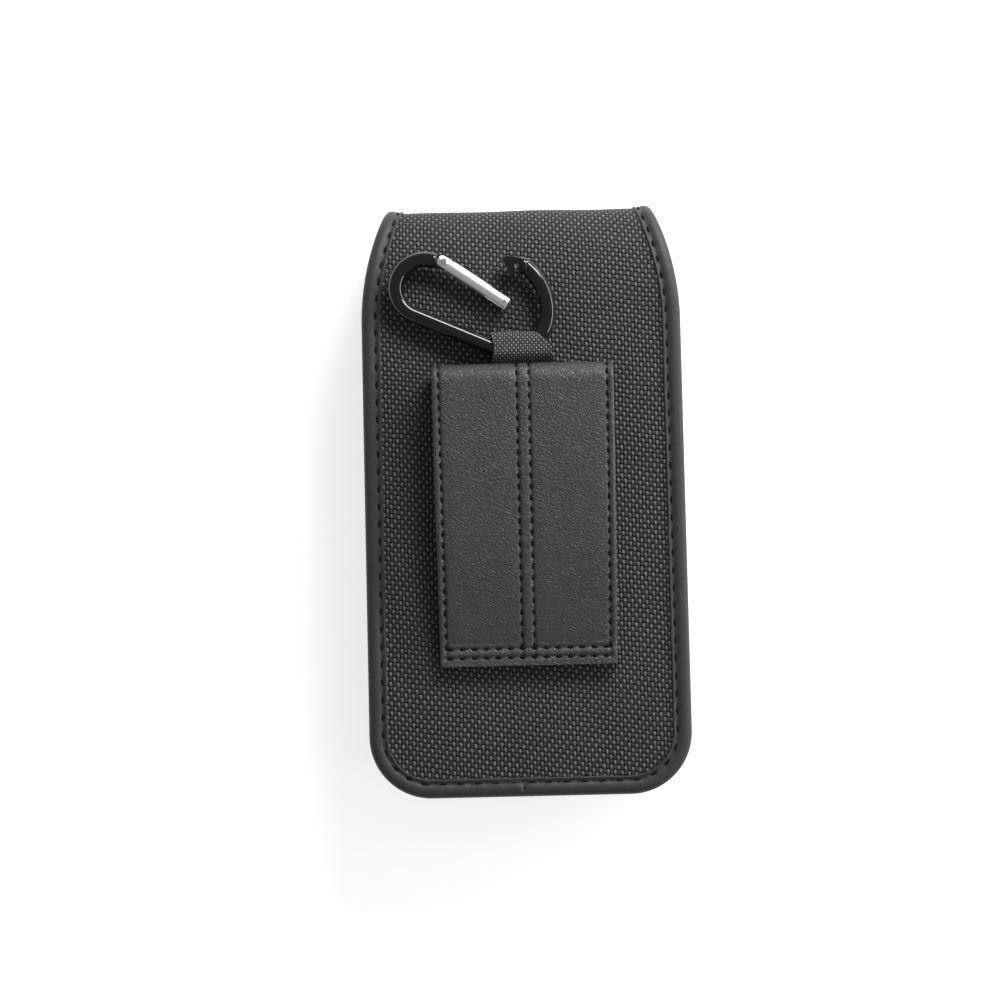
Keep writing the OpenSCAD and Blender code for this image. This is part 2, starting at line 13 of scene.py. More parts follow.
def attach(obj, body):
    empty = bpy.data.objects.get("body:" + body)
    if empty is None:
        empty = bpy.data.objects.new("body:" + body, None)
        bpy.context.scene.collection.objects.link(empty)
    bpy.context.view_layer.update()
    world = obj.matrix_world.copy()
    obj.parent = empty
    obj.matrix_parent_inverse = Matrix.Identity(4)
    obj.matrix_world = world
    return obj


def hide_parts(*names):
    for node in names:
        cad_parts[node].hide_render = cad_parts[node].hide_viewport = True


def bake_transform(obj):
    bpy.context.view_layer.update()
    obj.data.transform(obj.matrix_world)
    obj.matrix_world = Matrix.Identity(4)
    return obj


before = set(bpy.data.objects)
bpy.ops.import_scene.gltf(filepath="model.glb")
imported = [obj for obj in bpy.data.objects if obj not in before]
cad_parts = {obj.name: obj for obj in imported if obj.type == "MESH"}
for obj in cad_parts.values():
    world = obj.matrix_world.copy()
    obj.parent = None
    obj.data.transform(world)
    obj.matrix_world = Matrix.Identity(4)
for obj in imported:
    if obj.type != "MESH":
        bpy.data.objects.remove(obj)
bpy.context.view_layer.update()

MM = 0.001

# Pouch: outline of the back, heights of the outer nylon, and the fold at its top
TOP, BOTTOM = 85.6, -85.6
SIDE = 46.0
CORNER_R = 17.7
BACK_Z, FLAP_Z, MID_Z = 27.4, 0.6, 14.0
REACH = 29.0
FOLD_IN = 0.6
FOLD_B = BACK_Z - MID_Z
FOLD_Y = TOP - FOLD_IN - REACH
TAPER, TAPER_LEN, TAPER_POWER = 7.1, 35.0, 1.85
FOLD_X = SIDE - TAPER

# Flap and front
FLAP_HALF = 43.5
FLAP_LENGTH = 62.2
FLAP_END = TOP - FLAP_LENGTH
FLAP_CORNER = 18.0
MOUTH_IN = 28.0
MOUTH = TOP - MOUTH_IN
FRONT_IN = 4.0
FRONT_X = SIDE - FRONT_IN
FRONT_BOTTOM = BOTTOM + FRONT_IN
FRONT_CORNER = CORNER_R - FRONT_IN
FRONT_RISE = 4.5

# Plies: depths of their two faces under the outer nylon, and their edges' distance in from the bound edge
SHELL, BOARD, LINING = (0.0, 0.9), (0.95, 2.15), (2.2, 2.7)
PLY_INSET = 1.25
TAPE_WIDTH, NARROW_WIDTH = 15.0, 11.0

# Belt loop
LOOP_Z = BACK_Z + 0.05
LOOP_BOTTOM = BOTTOM + 37.2
LOOP_LENGTH = 85.8
LOOP_TOP = LOOP_BOTTOM + LOOP_LENGTH
LOOP_T = 1.8
BELT_GAP = 6.6
LOOP_R = BELT_GAP / 2 + LOOP_T
LOOP_FOLD_Y = LOOP_TOP - LOOP_R
LOOP_SEAM = LOOP_BOTTOM + 6.5

# Carabiner: its bar, three bends and a straight spine; angles in degrees
BAR_R = 2.25
RING_Z = LOOP_Z + 0.85 + BAR_R
TAB_BEND_R, HINGE_BEND_R, NOSE_BEND_R = 11.2, 8.3, 17.2
TAB_CENTRE = (-3.4, LOOP_TOP + 1.9 + BAR_R + TAB_BEND_R)
NOSE_CENTRE = (TAB_CENTRE[0] - 6.0, TAB_CENTRE[1])
NOSE_END = 50.5
TAB_HOLD = TAB_CENTRE[1] - TAB_BEND_R
SPINE_LENGTH, SPINE_SLOPE = 25.0, 23.8
SPINE_NORMAL = -90 - SPINE_SLOPE
STUB_LENGTH, STUB_DIR = 3.9, -14
PIN_REACH, SHUT_DIR, OPEN_BY = 20.7, -3.5, 31.1
GATE_LENGTH, GATE_GAP = 21.6, 0.25


def polar(r, degrees):
    a = math.radians(degrees)
    return np.array([r * math.cos(a), r * math.sin(a)])


SPINE_RIGHT = np.array(TAB_CENTRE) + polar(TAB_BEND_R, SPINE_NORMAL)
SPINE_LEFT = SPINE_RIGHT + polar(SPINE_LENGTH, 180 - SPINE_SLOPE)
HINGE_CENTRE = SPINE_LEFT - polar(HINGE_BEND_R, SPINE_NORMAL)
STUB_START = HINGE_CENTRE + polar(HINGE_BEND_R, 90 + STUB_DIR)
PIVOT = STUB_START + polar(STUB_LENGTH, STUB_DIR)
CLOSED_PIN = PIVOT + polar(PIN_REACH, SHUT_DIR)
GATE_DIR = SHUT_DIR - OPEN_BY
COLLAR_X = PIVOT[0] + GATE_LENGTH + GATE_GAP


# Camera and light
CAMERA_UP, CAMERA_ROLL = 86, -1.324
CAMERA_LENS, CAMERA_AWAY = 87.19, 0.69302
CAMERA_AIM = (-7.203, -1.035, 28.0)


def placed(name, data):
    """A new object in the scene."""
    piece = bpy.data.objects.new(name, data)
    bpy.context.collection.objects.link(piece)
    return piece


def add_camera():
    """The photograph's angle: almost straight down on the back, a little from the bottom end."""
    elevation, roll = math.radians(CAMERA_UP), math.radians(CAMERA_ROLL)
    back = Vector((0, -math.cos(elevation), math.sin(elevation)))
    level = Vector((1, 0, 0))
    rise = back.cross(level)
    right = level * math.cos(roll) + rise * math.sin(roll)
    up = rise * math.cos(roll) - level * math.sin(roll)
    data = bpy.data.cameras.new("camera")
    data.lens, data.sensor_width = CAMERA_LENS, 36.0
    data.clip_start, data.clip_end = 0.05, 20
    cam = placed("camera", data)
    turn = Matrix((right, up, back)).transposed().to_4x4()
    cam.matrix_world = Matrix.Translation(Vector(CAMERA_AIM) * MM + back * CAMERA_AWAY) @ turn
    bpy.context.scene.camera = cam


def add_lamp(name, place, wide, high, watts):
    data = bpy.data.lights.new(name, "AREA")
    data.shape, data.size, data.size_y, data.energy = "RECTANGLE", wide, high, watts
    lamp = placed(name, data)
    lamp.location = place
    lamp.rotation_euler = (Vector((0, 0, 0.02)) - Vector(place)).to_track_quat("-Z", "Y").to_euler()


add_camera()
add_lamp("key", (0.21, 0.42, 0.32), 0.27, 0.16, 2.65)
add_lamp("side", (0.87, 0.24, 0.31), 1.30, 0.10, 6.0)
bpy.context.scene.view_settings.view_transform = "Standard"


# Materials
class Value:
    """A shader socket that can be used in a Python expression."""

    def __init__(self, finish, socket):
        self.finish, self.socket = finish, socket

    def math(self, operation, other=0.0):
        return self.finish.math(operation, self, other)

    def __add__(self, other):
        return self.math("ADD", other)

    __radd__ = __add__

    def __sub__(self, other):
        return self.math("SUBTRACT", other)

    def __rsub__(self, other):
        return self.finish.math("SUBTRACT", other, self)

    def __mul__(self, other):
        return self.math("MULTIPLY", other)

    __rmul__ = __mul__

    def __truediv__(self, other):
        return self.math("DIVIDE", other)


class Finish:
    """A material with its Principled shader, and one method that adds any node."""

    def __init__(self, name, **constants):
        self.material = bpy.data.materials.new(name)
        self.material.use_nodes = True
        self.tree = self.material.node_tree
        self.shader = self.tree.nodes["Principled BSDF"]
        for socket, value in constants.items():
            self.shader.inputs[socket.replace("_", " ")].default_value = value

    def node(self, kind, sockets=None, out=0, **settings):
        node = self.tree.nodes.new(kind)
        for key, value in settings.items():
            setattr(node, key, value)
        for key, value in (sockets or {}).items():
            if isinstance(value, Value):
                self.tree.links.new(value.socket, node.inputs[key])
            else:
                node.inputs[key].default_value = value
        return Value(self, node.outputs[out])

    def math(self, operation, first, second):
        return self.node("ShaderNodeMath", {0: first, 1: second}, operation=operation)

    def feed(self, **sockets):
        for key, value in sockets.items():
            self.tree.links.new(value.socket, self.shader.inputs[key.replace("_", " ")])
        return self.material

    def shade(self, share, dark, light):
        """A colour between two greys or colours, by a value from 0 to 1."""
        return self.node("ShaderNodeMix", {0: share, 6: (*dark, 1), 7: (*light, 1)}, 2, data_type="RGBA")

    def bump(self, height, depth_mm):
        return self.node("ShaderNodeBump", {"Height": height, "Distance": depth_mm * MM})

    def cloth(self):
        """Places on a piece's own map, in millimetres."""
        return self.node("ShaderNodeUVMap", uv_map="cloth")

    def place(self):
        """Places in a piece's own space, in metres."""
        return self.node("ShaderNodeTexCoord", out="Object")

    def split(self, vector):
        node = self.node("ShaderNodeSeparateXYZ", {0: vector}).socket.node
        return [Value(self, node.outputs[i]) for i in range(3)]

    def noise(self, vector, scale, detail=3.0):
        sockets = {"Vector": vector, "Scale": scale, "Detail": detail, "Roughness": 0.55}
        return self.node("ShaderNodeTexNoise", sockets)

    def cells(self, vector, scale, feature="F1"):
        return self.node("ShaderNodeTexVoronoi", {"Vector": vector, "Scale": scale}, feature=feature)

    def stretched(self, vector, x, y):
        return self.node("ShaderNodeMapping", {"Vector": vector, "Scale": (x, y, 1.0)})


def grey(value):
    return (value, value, value)


def woven(name, across, along, skew, dark, light, relief, rough=0.5, specular=0.3, uneven=1.0):
    """A plain weave of warp floats over weft; its colour holds a painted sheen on the yarns' crowns,
    strongest on the warp, and painted shade falling near-black in the gaps between the yarns.
    """
    f = Finish(name, Roughness=rough, Specular_IOR_Level=specular)
    uv = f.cloth()
    x, y, _ = f.split(uv)
    column = x / across + f.noise(uv, 0.05, 2.0) * (1.2 * uneven)
    row = (y + x * skew) / along + f.noise(uv, 0.07, 2.0) * uneven
    off_x = (column.math("FRACT") - 0.5) * 2
    off_y = (row.math("FRACT") - 0.5) * 2
    side = (column.math("FLOOR") + row.math("FLOOR")).math("PINGPONG", 1.0)
    warp = (1 - off_x * off_x) * (1 - off_y * off_y * 0.75)
    weft = (1 - off_y * off_y) * (1 - off_x * off_x * 0.6)
    height = warp + (weft * 0.62 - warp) * side
    fibres = f.noise(f.stretched(uv, 5.0, 0.8), 1.0, 2.0)
    patch = f.noise(uv, 0.12)
    yarn = f.noise(f.stretched(uv, 1.4, 0.7), 1.0, 1.0)
    lit = fibres * 0.55 + yarn * 0.85 + patch * 0.3
    # Painted sheen and shade: the colour is brightest on each yarn's crown and falls to near-black between
    # the yarns
    glow = ((1 - side) * warp.math("POWER", 0.85) + side * weft.math("POWER", 1.8) * 0.34) * lit
    return f.feed(Base_Color=f.shade(glow.math("MINIMUM", 1.0), dark, light),
                  Normal=f.bump(height + fibres * 0.12, relief))


def leatherette(name, tone, grain, relief, rough, mottled, specular):
    """Coated cloth with a pressed grain; its tone is mottled by noises, some of which also shape the grain.
    """
    f = Finish(name, Specular_IOR_Level=specular)
    uv = f.cloth()
    flow = f.noise(uv, 0.5 / grain)
    pebble = f.cells(uv, 1.0 / grain)
    crease = f.cells(uv, 0.7 / grain, "DISTANCE_TO_EDGE")
    fine = f.noise(uv, 3.0 / grain, 2.0)
    height = pebble * 0.5 + crease.math("MINIMUM", 0.12) * 4.0 + flow * 0.5 + fine * 0.25
    cloud = f.noise(uv, 0.06)
    share = cloud * 0.35 + flow * 0.3 + (1 - pebble) * 0.2 + fine * 0.15
    colour = f.shade(share, grey(tone * (1 - mottled)), grey(tone * (1 + mottled)))
    roughness = (share * 0.18 + (rough - 0.09)).math("MINIMUM", 1.0)
    return f.feed(Base_Color=colour, Roughness=roughness, Normal=f.bump(height, relief))


def metal(name, tone, rough, streak, metallic=1.0, coat=0.0):
    """Bare metal, or enamel where metallic is 0, with fine streaks and cloudy patches."""
    f = Finish(name, Metallic=metallic, Coat_Weight=coat, Coat_Roughness=0.04, Coat_IOR=1.42,
               Specular_IOR_Level=0.5 if metallic else 0.1)
    place = f.place()
    lines = f.noise(place, 900.0)
    cloud = f.noise(place, 120.0, 2.0)
    share = lines * 0.6 + cloud * 0.4
    colour = f.shade(share, grey(tone * (1 - streak)), grey(tone * (1 + streak * 0.6)))
    return f.feed(Base_Color=colour, Roughness=share * (rough * 0.5) + rough * 0.75)


def plain(name, dark, light, scale, relief, rough):
    """A matt, speckled surface, as board and foam have."""
    f = Finish(name, Roughness=rough)
    place = f.place()
    speck = f.noise(place, scale, 4.0)
    return f.feed(Base_Color=f.shade(speck, dark, light), Normal=f.bump(speck, relief))


def thread_finish():
    """Twisted black thread."""
    f = Finish("thread", Roughness=0.8, Specular_IOR_Level=0.1)
    twist = f.node("ShaderNodeTexWave", {"Vector": f.place(), "Scale": 700.0, "Distortion": 1.0}, "Fac",
                   bands_direction="DIAGONAL")
    return f.feed(Base_Color=f.shade(twist, grey(0.005), grey(0.014)), Normal=f.bump(twist, 0.05))


# Each weave's dark colour is its painted shade between the yarns, and its light colour is its painted sheen
# on their crowns
NYLON = woven("ballistic_nylon", across=1.035, along=1.37, skew=0.137, relief=0.42, specular=0.15,
              dark=(0.0030, 0.0026, 0.0025), light=(0.216, 0.207, 0.204))
WEB = woven("webbing", across=0.66, along=0.72, skew=0.0, relief=0.3, specular=0.18, uneven=1.6,
            dark=grey(0.004), light=grey(0.33))
LINING_CLOTH = woven("lining_cloth", across=0.5, along=0.5, skew=0.0, relief=0.12, rough=0.8,
                     dark=grey(0.03), light=grey(0.13))
EDGE = leatherette("edge_leatherette", tone=0.051, grain=0.50, relief=0.03, rough=0.47, mottled=0.18,
                   specular=0.26)
STRAP = leatherette("loop_leatherette", tone=0.052, grain=0.66, relief=0.16, rough=0.38, mottled=0.50,
                    specular=0.5)
ENAMEL = metal("black_enamel", tone=0.007, rough=0.10, streak=0.2, metallic=0.0, coat=1.0)
ALUMINIUM = metal("satin_aluminium", tone=0.92, rough=0.38, streak=0.04)
STEEL = metal("pin_steel", tone=0.7, rough=0.25, streak=0.1)
SPRING = metal("spring_steel", tone=0.5, rough=0.3, streak=0.1)
MAGNET = metal("magnet_plate", tone=0.75, rough=0.18, streak=0.04)
STIFFENER = plain("stiffener", dark=(0.30, 0.28, 0.25), light=(0.42, 0.40, 0.36), scale=900.0, relief=0.03,
                  rough=0.9)
FOAM = plain("fold_foam", dark=(0.14, 0.14, 0.15), light=(0.22, 0.22, 0.23), scale=2200.0, relief=0.06,
             rough=0.95)
THREAD = thread_finish()


# Meshes
def outwards(data):
    """Turns every face outwards."""
    work = bmesh.new()
    work.from_mesh(data)
    bmesh.ops.recalc_face_normals(work, faces=work.faces)
    work.to_mesh(data)
    work.free()


def mesh_piece(name, points, faces, maps, material, sharp=40):
    """A mesh from points in mm, faces of point numbers and one map place for each face corner."""
    data = bpy.data.meshes.new(name)
    data.from_pydata((np.asarray(points, float) * MM).tolist(), [], [list(map(int, f)) for f in faces])
    if maps is not None:
        layer = data.uv_layers.new(name="cloth")
        layer.data.foreach_set("uv", np.asarray(maps, np.float32).ravel())
    data.materials.append(material)
    data.shade_smooth()
    data.set_sharp_from_angle(angle=math.radians(sharp))
    data.validate()
    data.update()
    outwards(data)
    return placed(name, data)


def grid_faces(rows, cols, around=False):
    """Quads of a grid of points, and the same quads numbered with one more column for the map."""
    wide = cols + 1 if around else cols
    i, j = np.meshgrid(np.arange(rows - 1), np.arange(wide - 1), indexing="ij")

    def corners(width, wrap):
        k = (j + 1) % wrap if wrap else j + 1
        quads = stacked(i * width + j, i * width + k, (i + 1) * width + k, (i + 1) * width + j)
        return quads.reshape(-1, 4)

    return corners(cols, cols if around else 0), corners(wide, 0)


def swept(name, rings, maps, material, sharp=40):
    """A closed section carried along a line and capped: rings is (n, k, 3), maps is (n, k + 1, 2)."""
    rows, cols, _ = rings.shape
    faces, numbers = grid_faces(rows, cols, True)
    maps = maps.reshape(-1, 2)
    faces, where = list(faces), list(maps[numbers].reshape(-1, 2))
    for ring, turn in ((0, 1), (rows - 1, -1)):
        faces.append([ring * cols + j for j in range(cols)][::-turn])
        where += [maps[ring * (cols + 1) + j] for j in range(cols)][::-turn]
    return mesh_piece(name, rings.reshape(-1, 3), faces, where, material, sharp)


def sheet_piece(name, top, under, maps, material):
    """Two skins of a cloth, (n, k, 3) each, closed round their rim."""
    rows, cols, _ = top.shape
    upper, numbers = grid_faces(rows, cols)
    lower = upper[:, ::-1] + rows * cols
    place = np.arange(rows * cols).reshape(rows, cols)
    edge = [*place[0], *place[1:, -1], *place[-1, -2::-1], *place[-2:0:-1, 0]]
    maps = maps.reshape(-1, 2)
    faces = list(upper) + list(lower)
    where = list(maps[numbers].reshape(-1, 2)) + list(maps[numbers[:, ::-1]].reshape(-1, 2))
    for a, b in zip(edge, edge[1:] + edge[:1]):
        faces.append([b, a, a + rows * cols, b + rows * cols])
        where += [maps[b], maps[a], maps[a], maps[b]]
    points = np.concatenate([top.reshape(-1, 3), under.reshape(-1, 3)])
    return mesh_piece(name, points, faces, where, material)


def bake(piece):
    """Applies a piece's modifiers to its mesh."""
    bpy.context.view_layer.update()
    shown = piece.evaluated_get(bpy.context.evaluated_depsgraph_get())
    made = bpy.data.meshes.new_from_object(shown)
    piece.modifiers.clear()
    piece.data = made


def stacked(*coordinates):
    """Points or map places from one number or array for each coordinate, spread over each other."""
    return np.stack(np.broadcast_arrays(*coordinates), -1)


def along(points):
    """Lengths along a line of points."""
    return np.concatenate([[0], np.cumsum(np.linalg.norm(np.diff(points, axis=0), axis=1))])


def eased(value, start, length):
    """0 up to start, 1 from start + length on."""
    return np.clip((value - start) / length, 0, 1)


def wander(u, seed, size):
    """A slow irregular drift along a length u, the same on each run."""
    slow = np.sin(u * 0.113 + seed) + 0.7 * np.sin(u * 0.271 + 2.3 * seed)
    return size * (slow + 0.45 * np.sin(u * 0.617 + 4.1 * seed)) / 2.15


# Surfaces of the strip and of the front
FOLD_A = np.linspace(0, math.pi, 1441)
FOLD_LINE = stacked(FOLD_Y + REACH * np.sin(FOLD_A), MID_Z + FOLD_B * np.cos(FOLD_A))
FOLD_S = along(FOLD_LINE)
S_FOLD = FOLD_Y - BOTTOM
S_APEX = S_FOLD + np.interp(math.pi / 2, FOLD_A, FOLD_S)
S_FLAP = S_FOLD + FOLD_S[-1]
S_END = S_FLAP + FOLD_Y - FLAP_END


def fold_angle(s):
    return np.interp(s - S_FOLD, FOLD_S, FOLD_A)


def strip_at(x, s, height):
    """Points height mm above the outer nylon of back, fold and flap, s mm along from the bottom edge."""
    x, s, height = np.broadcast_arrays(x, s, height)
    a = fold_angle(s)
    past = np.where(s > S_FLAP, FOLD_Y - (s - S_FLAP), FOLD_Y + REACH * np.sin(a))
    y = np.where(s < S_FOLD, BOTTOM + s, past)
    z = MID_Z + FOLD_B * np.cos(a)
    ny, nz = FOLD_B * np.sin(a), REACH * np.cos(a)
    size = np.hypot(ny, nz)
    return stacked(x, y, z) + stacked(0.0, ny / size, nz / size) * height[..., None]


def strip_half(s):
    """Half-width of the strip, without its corners."""
    a = fold_angle(s)
    y = np.where(s < S_FOLD, BOTTOM + s, np.where(s > S_FLAP, -1e3, FOLD_Y + REACH * np.sin(a)))
    e = np.maximum(TOP - y, 0)
    back = SIDE - TAPER * np.maximum(1 - e / TAPER_LEN, 0) ** TAPER_POWER
    flap = FLAP_HALF - (FLAP_HALF - FOLD_X) * np.maximum(1 - e / REACH, 0) ** TAPER_POWER
    return np.where(s <= S_APEX, back, flap)


def front_z(y):
    """Height of the front's nylon, which eases up from the bottom's level to run under the flap."""
    u = eased(y, BOTTOM + 12, FLAP_END - 3 - BOTTOM - 12)
    return FLAP_Z + FRONT_RISE * u * u * (3 - 2 * u)


def front_at(x, y, height):
    """Points height mm outside the nylon face of the pouch's front."""
    x, y, height = np.broadcast_arrays(x, y, height)
    slope = front_z(y + 0.5) - front_z(y - 0.5)
    size = np.hypot(slope, 1)
    return stacked(x, y, front_z(y)) + stacked(0.0, slope / size, -1 / size) * height[..., None]


def row_half(edge, radius, half, inset):
    """Half-width of a row that lies edge mm from a rounded end."""
    reach = np.maximum(radius - edge, 0)
    r = radius - inset
    rounded = half - radius + np.sqrt(np.maximum(r * r - reach * reach, 0))
    return np.where(edge >= radius, half - inset, rounded)


def ply_rows(first, last, radius_first, radius_last, fine=()):
    """Row places from first to last, close together at rounded ends and over fine, a (from, to, step)."""
    rows = []
    bend = 1 - np.cos(np.linspace(0, math.pi / 2, 17))
    if radius_first:
        rows += list(first + radius_first * bend)
    if radius_last:
        rows += list(last - radius_last * bend)
    rows += list(np.arange(first, last, 2.5)) + [last]
    for a, b, step in fine:
        rows += list(np.arange(a, b, step))
    rows = np.unique(np.round(np.clip(rows, first, last), 3))
    keep = [rows[0]]
    for r in rows[1:]:
        if r - keep[-1] > 0.03:
            keep.append(r)
    return np.array(keep)


def strip_ply(name, part, depth, material, columns, relief=0.0):
    """One ply of the strip, from the bottom edge to the top of the fold, or from there to the flap's end."""
    if part == "back":
        fine = [(S_FOLD - 6, S_APEX - 0.3, 0.8), (S_APEX - 0.32, S_APEX, 0.1)]
        s = ply_rows(PLY_INSET, S_APEX, CORNER_R - PLY_INSET, 0, fine)
        half = row_half(s, CORNER_R, strip_half(s), PLY_INSET)
    else:
        fine = [(S_APEX, S_APEX + 0.32, 0.1), (S_APEX + 0.3, S_FLAP + 4, 0.8)]
        s = ply_rows(S_APEX, S_END - PLY_INSET, 0, FLAP_CORNER - PLY_INSET, fine)
        half = row_half(S_END - s, FLAP_CORNER, strip_half(s), PLY_INSET)
    half, s = half[:, None], s[:, None]
    x = half * np.linspace(-1, 1, columns + 1)
    lift = 0.0
    if relief:
        lift = relief * (np.sin(x * 0.21 + 0.4) * np.sin(s * 0.083) + 0.6 * np.sin(x * 0.11 + s * 0.15))
        lift = lift * eased(half - np.abs(x), 0, 9)
    top, under = strip_at(x, s, -depth[0] + lift), strip_at(x, s, -depth[1])
    return sheet_piece(name, top, under, stacked(x, s), material)


def square_to(line):
    """Unit directions to the right of a line of points."""
    run = np.gradient(line, axis=0)
    right = stacked(run[:, 1], -run[:, 0])
    return right / np.linalg.norm(right, axis=1)[:, None]


def points_at(line, u, v):
    """Points of a line at lengths v, where its own points lie at lengths u."""
    return stacked(*(np.interp(v, u, places) for places in line.T))


def spread(line, count):
    """The same line as a count of evenly spaced points."""
    u = along(line)
    return points_at(line, u, np.linspace(0, u[-1], count))


def respaced(line, step):
    """The same line with even steps."""
    return spread(line, int(round(along(line)[-1] / step)) + 1)


def arc(cx, cy, r, start, end, n=40):
    a = np.radians(np.linspace(start, end, n))
    return stacked(cx + r * np.cos(a), cy + r * np.sin(a))


def bound_edge(part):
    """The bound edge as (x, s), from one end of the piece round to the other."""
    if part == "back":
        s = np.linspace(S_APEX, CORNER_R, 400)
        right = stacked(strip_half(s), s)
        bend = arc(SIDE - CORNER_R, CORNER_R, CORNER_R, 0, -90)
    elif part == "flap":
        s = np.linspace(S_APEX, S_END - FLAP_CORNER, 300)
        right = stacked(strip_half(s), s)
        bend = arc(FLAP_HALF - FLAP_CORNER, S_END - FLAP_CORNER, FLAP_CORNER, 0, 90)
    else:
        y = np.linspace(MOUTH, FRONT_BOTTOM + FRONT_CORNER, 200)
        right = stacked(FRONT_X, y)
        bend = arc(FRONT_X - FRONT_CORNER, FRONT_BOTTOM + FRONT_CORNER, FRONT_CORNER, 0, -90)
    half = np.concatenate([right, bend[1:], [[0, bend[-1][1]]]])
    return np.concatenate([half, half[-2::-1] * [-1, 1]])


# The tape's section as (distance in from the bound edge, height over the nylon, share of the stitches' pull)
OUTER_LEG = [(5.42, 0.0, 0), (5.40, 0.27, 0), (5.31, 0.45, 0), (5.13, 0.54, 0), (4.92, 0.52, 0.1),
             (4.70, 0.42, 0.5), (4.50, 0.31, 0.9), (4.30, 0.25, 1), (4.10, 0.24, 1), (3.90, 0.26, 1),
             (3.68, 0.34, 0.9), (3.42, 0.47, 0.6), (3.10, 0.60, 0.3), (2.70, 0.70, 0.1), (2.25, 0.74, 0)]
ROLL = [(1.95 + 1.95 * math.cos(math.radians(a)), -1.35 + 2.02 * math.sin(math.radians(a)), 0)
        for a in range(100, 270, 14)]
INNER_LEG = [(1.95, -3.3, 0), (2.7, -3.32, 0.1), (3.5, -3.22, 0.6), (4.1, -3.14, 1), (4.4, -3.2, 0.6),
             (4.62, -3.1, 0), (4.6, -2.7, 0)]
NARROW_LEG = [(0.9, -3.0, 0), (1.05, -2.9, 0), (1.05, -2.7, 0)]
HOLLOW = [(1.2, -2.7, 0), (1.2, 0.0, 0)]
ROLL_IN = 1.9
STITCH_IN, STITCH_PITCH, PULL_WIDTH = 4.1, 5.0, 1.25
# Where the back's tape meets its own end, on the bottom edge, and how far its lifted end reaches
JOINT_X, JOINT_LAP = -2.6, 9


def seam_from(length, pitch):
    """Where the first of a row of evenly spaced stitches lies, so that the row is centred."""
    count = int((length - pitch * 0.6) / pitch)
    return (length - count * pitch) / 2


def cut_row(line, u, first, last):
    """The part of a line of points between two lengths along it."""
    return points_at(line, u, np.concatenate([[first], u[(u > first + 0.01) & (u < last - 0.01)], [last]]))


def pulls(u, first, pitch, width):
    """1 at each stitch of a row and 0 between them."""
    away = (u - first + pitch / 2) % pitch - pitch / 2
    return np.exp(-(away / width) ** 2)


def tape(name, part, joint=False, narrow=False):
    """Leatherette tape folded over a bound edge and pulled down at its stitches; its row; and its length."""
    line = respaced(bound_edge(part), 0.5)
    inward = square_to(line) * (-1 if part == "flap" else 1)
    inward[0], inward[-1] = (-1, 0), (1, 0)
    surface = front_at if part == "front" else strip_at
    u = along(line)
    roll = [p for p in ROLL if not narrow or p[0] < 0.85 or p[1] > -1.5]
    section = np.array(OUTER_LEG + roll + (NARROW_LEG if narrow else INNER_LEG) + HOLLOW)
    inset, height, share = section.T
    over = (height > 0) & (inset > ROLL_IN)
    first = seam_from(u[-1], STITCH_PITCH)
    pull = pulls(u, first, STITCH_PITCH, PULL_WIDTH)
    rise = height - 0.20 * np.where(over, share, -share) * pull[:, None]
    lip = np.where(inset > 4.8, 1.0, 0.0)
    wide = inset + lip * wander(u, 1.7, 0.09)[:, None]
    full = (height > 0.5) & (inset < 3.2)
    rise = rise + full * wander(u * 1.9, 0.6, 0.04)[:, None]
    if joint:
        # The upper end lifts a little, and a notch between the ends fades out over the roll and the lip
        past = (line[:, 0] - JOINT_X) * np.where(line[:, 1] < 3, 1, 99)
        lift = np.where((past < 0) & (past > -JOINT_LAP), 0.22 * (1 + past / JOINT_LAP), 0.0)
        lap = lift - 0.66 * np.exp(-((past - 0.30) / 0.42) ** 2)
        depth = eased(inset, 1.0, 1.3) * eased(4.9 - inset, 0, 0.6)
        rise = rise + np.where(height > -0.9, depth, 0.0) * lap[:, None]
        rise = np.where(over & (abs(past) < 1.5)[:, None], np.maximum(rise, 0.04), rise)
    x = line[:, :1] + inward[:, :1] * wide
    s = line[:, 1:] + inward[:, 1:] * wide
    across = along(section[:, :2])
    across = np.append(across, across[-1] + 1.5)
    piece = swept(name, surface(x, s, rise), stacked(across, u[:, None]), EDGE)
    row = surface(*(line + inward * STITCH_IN).T, 0.16)
    return piece, cut_row(row, u, first, u[-1] - first), u[-1]


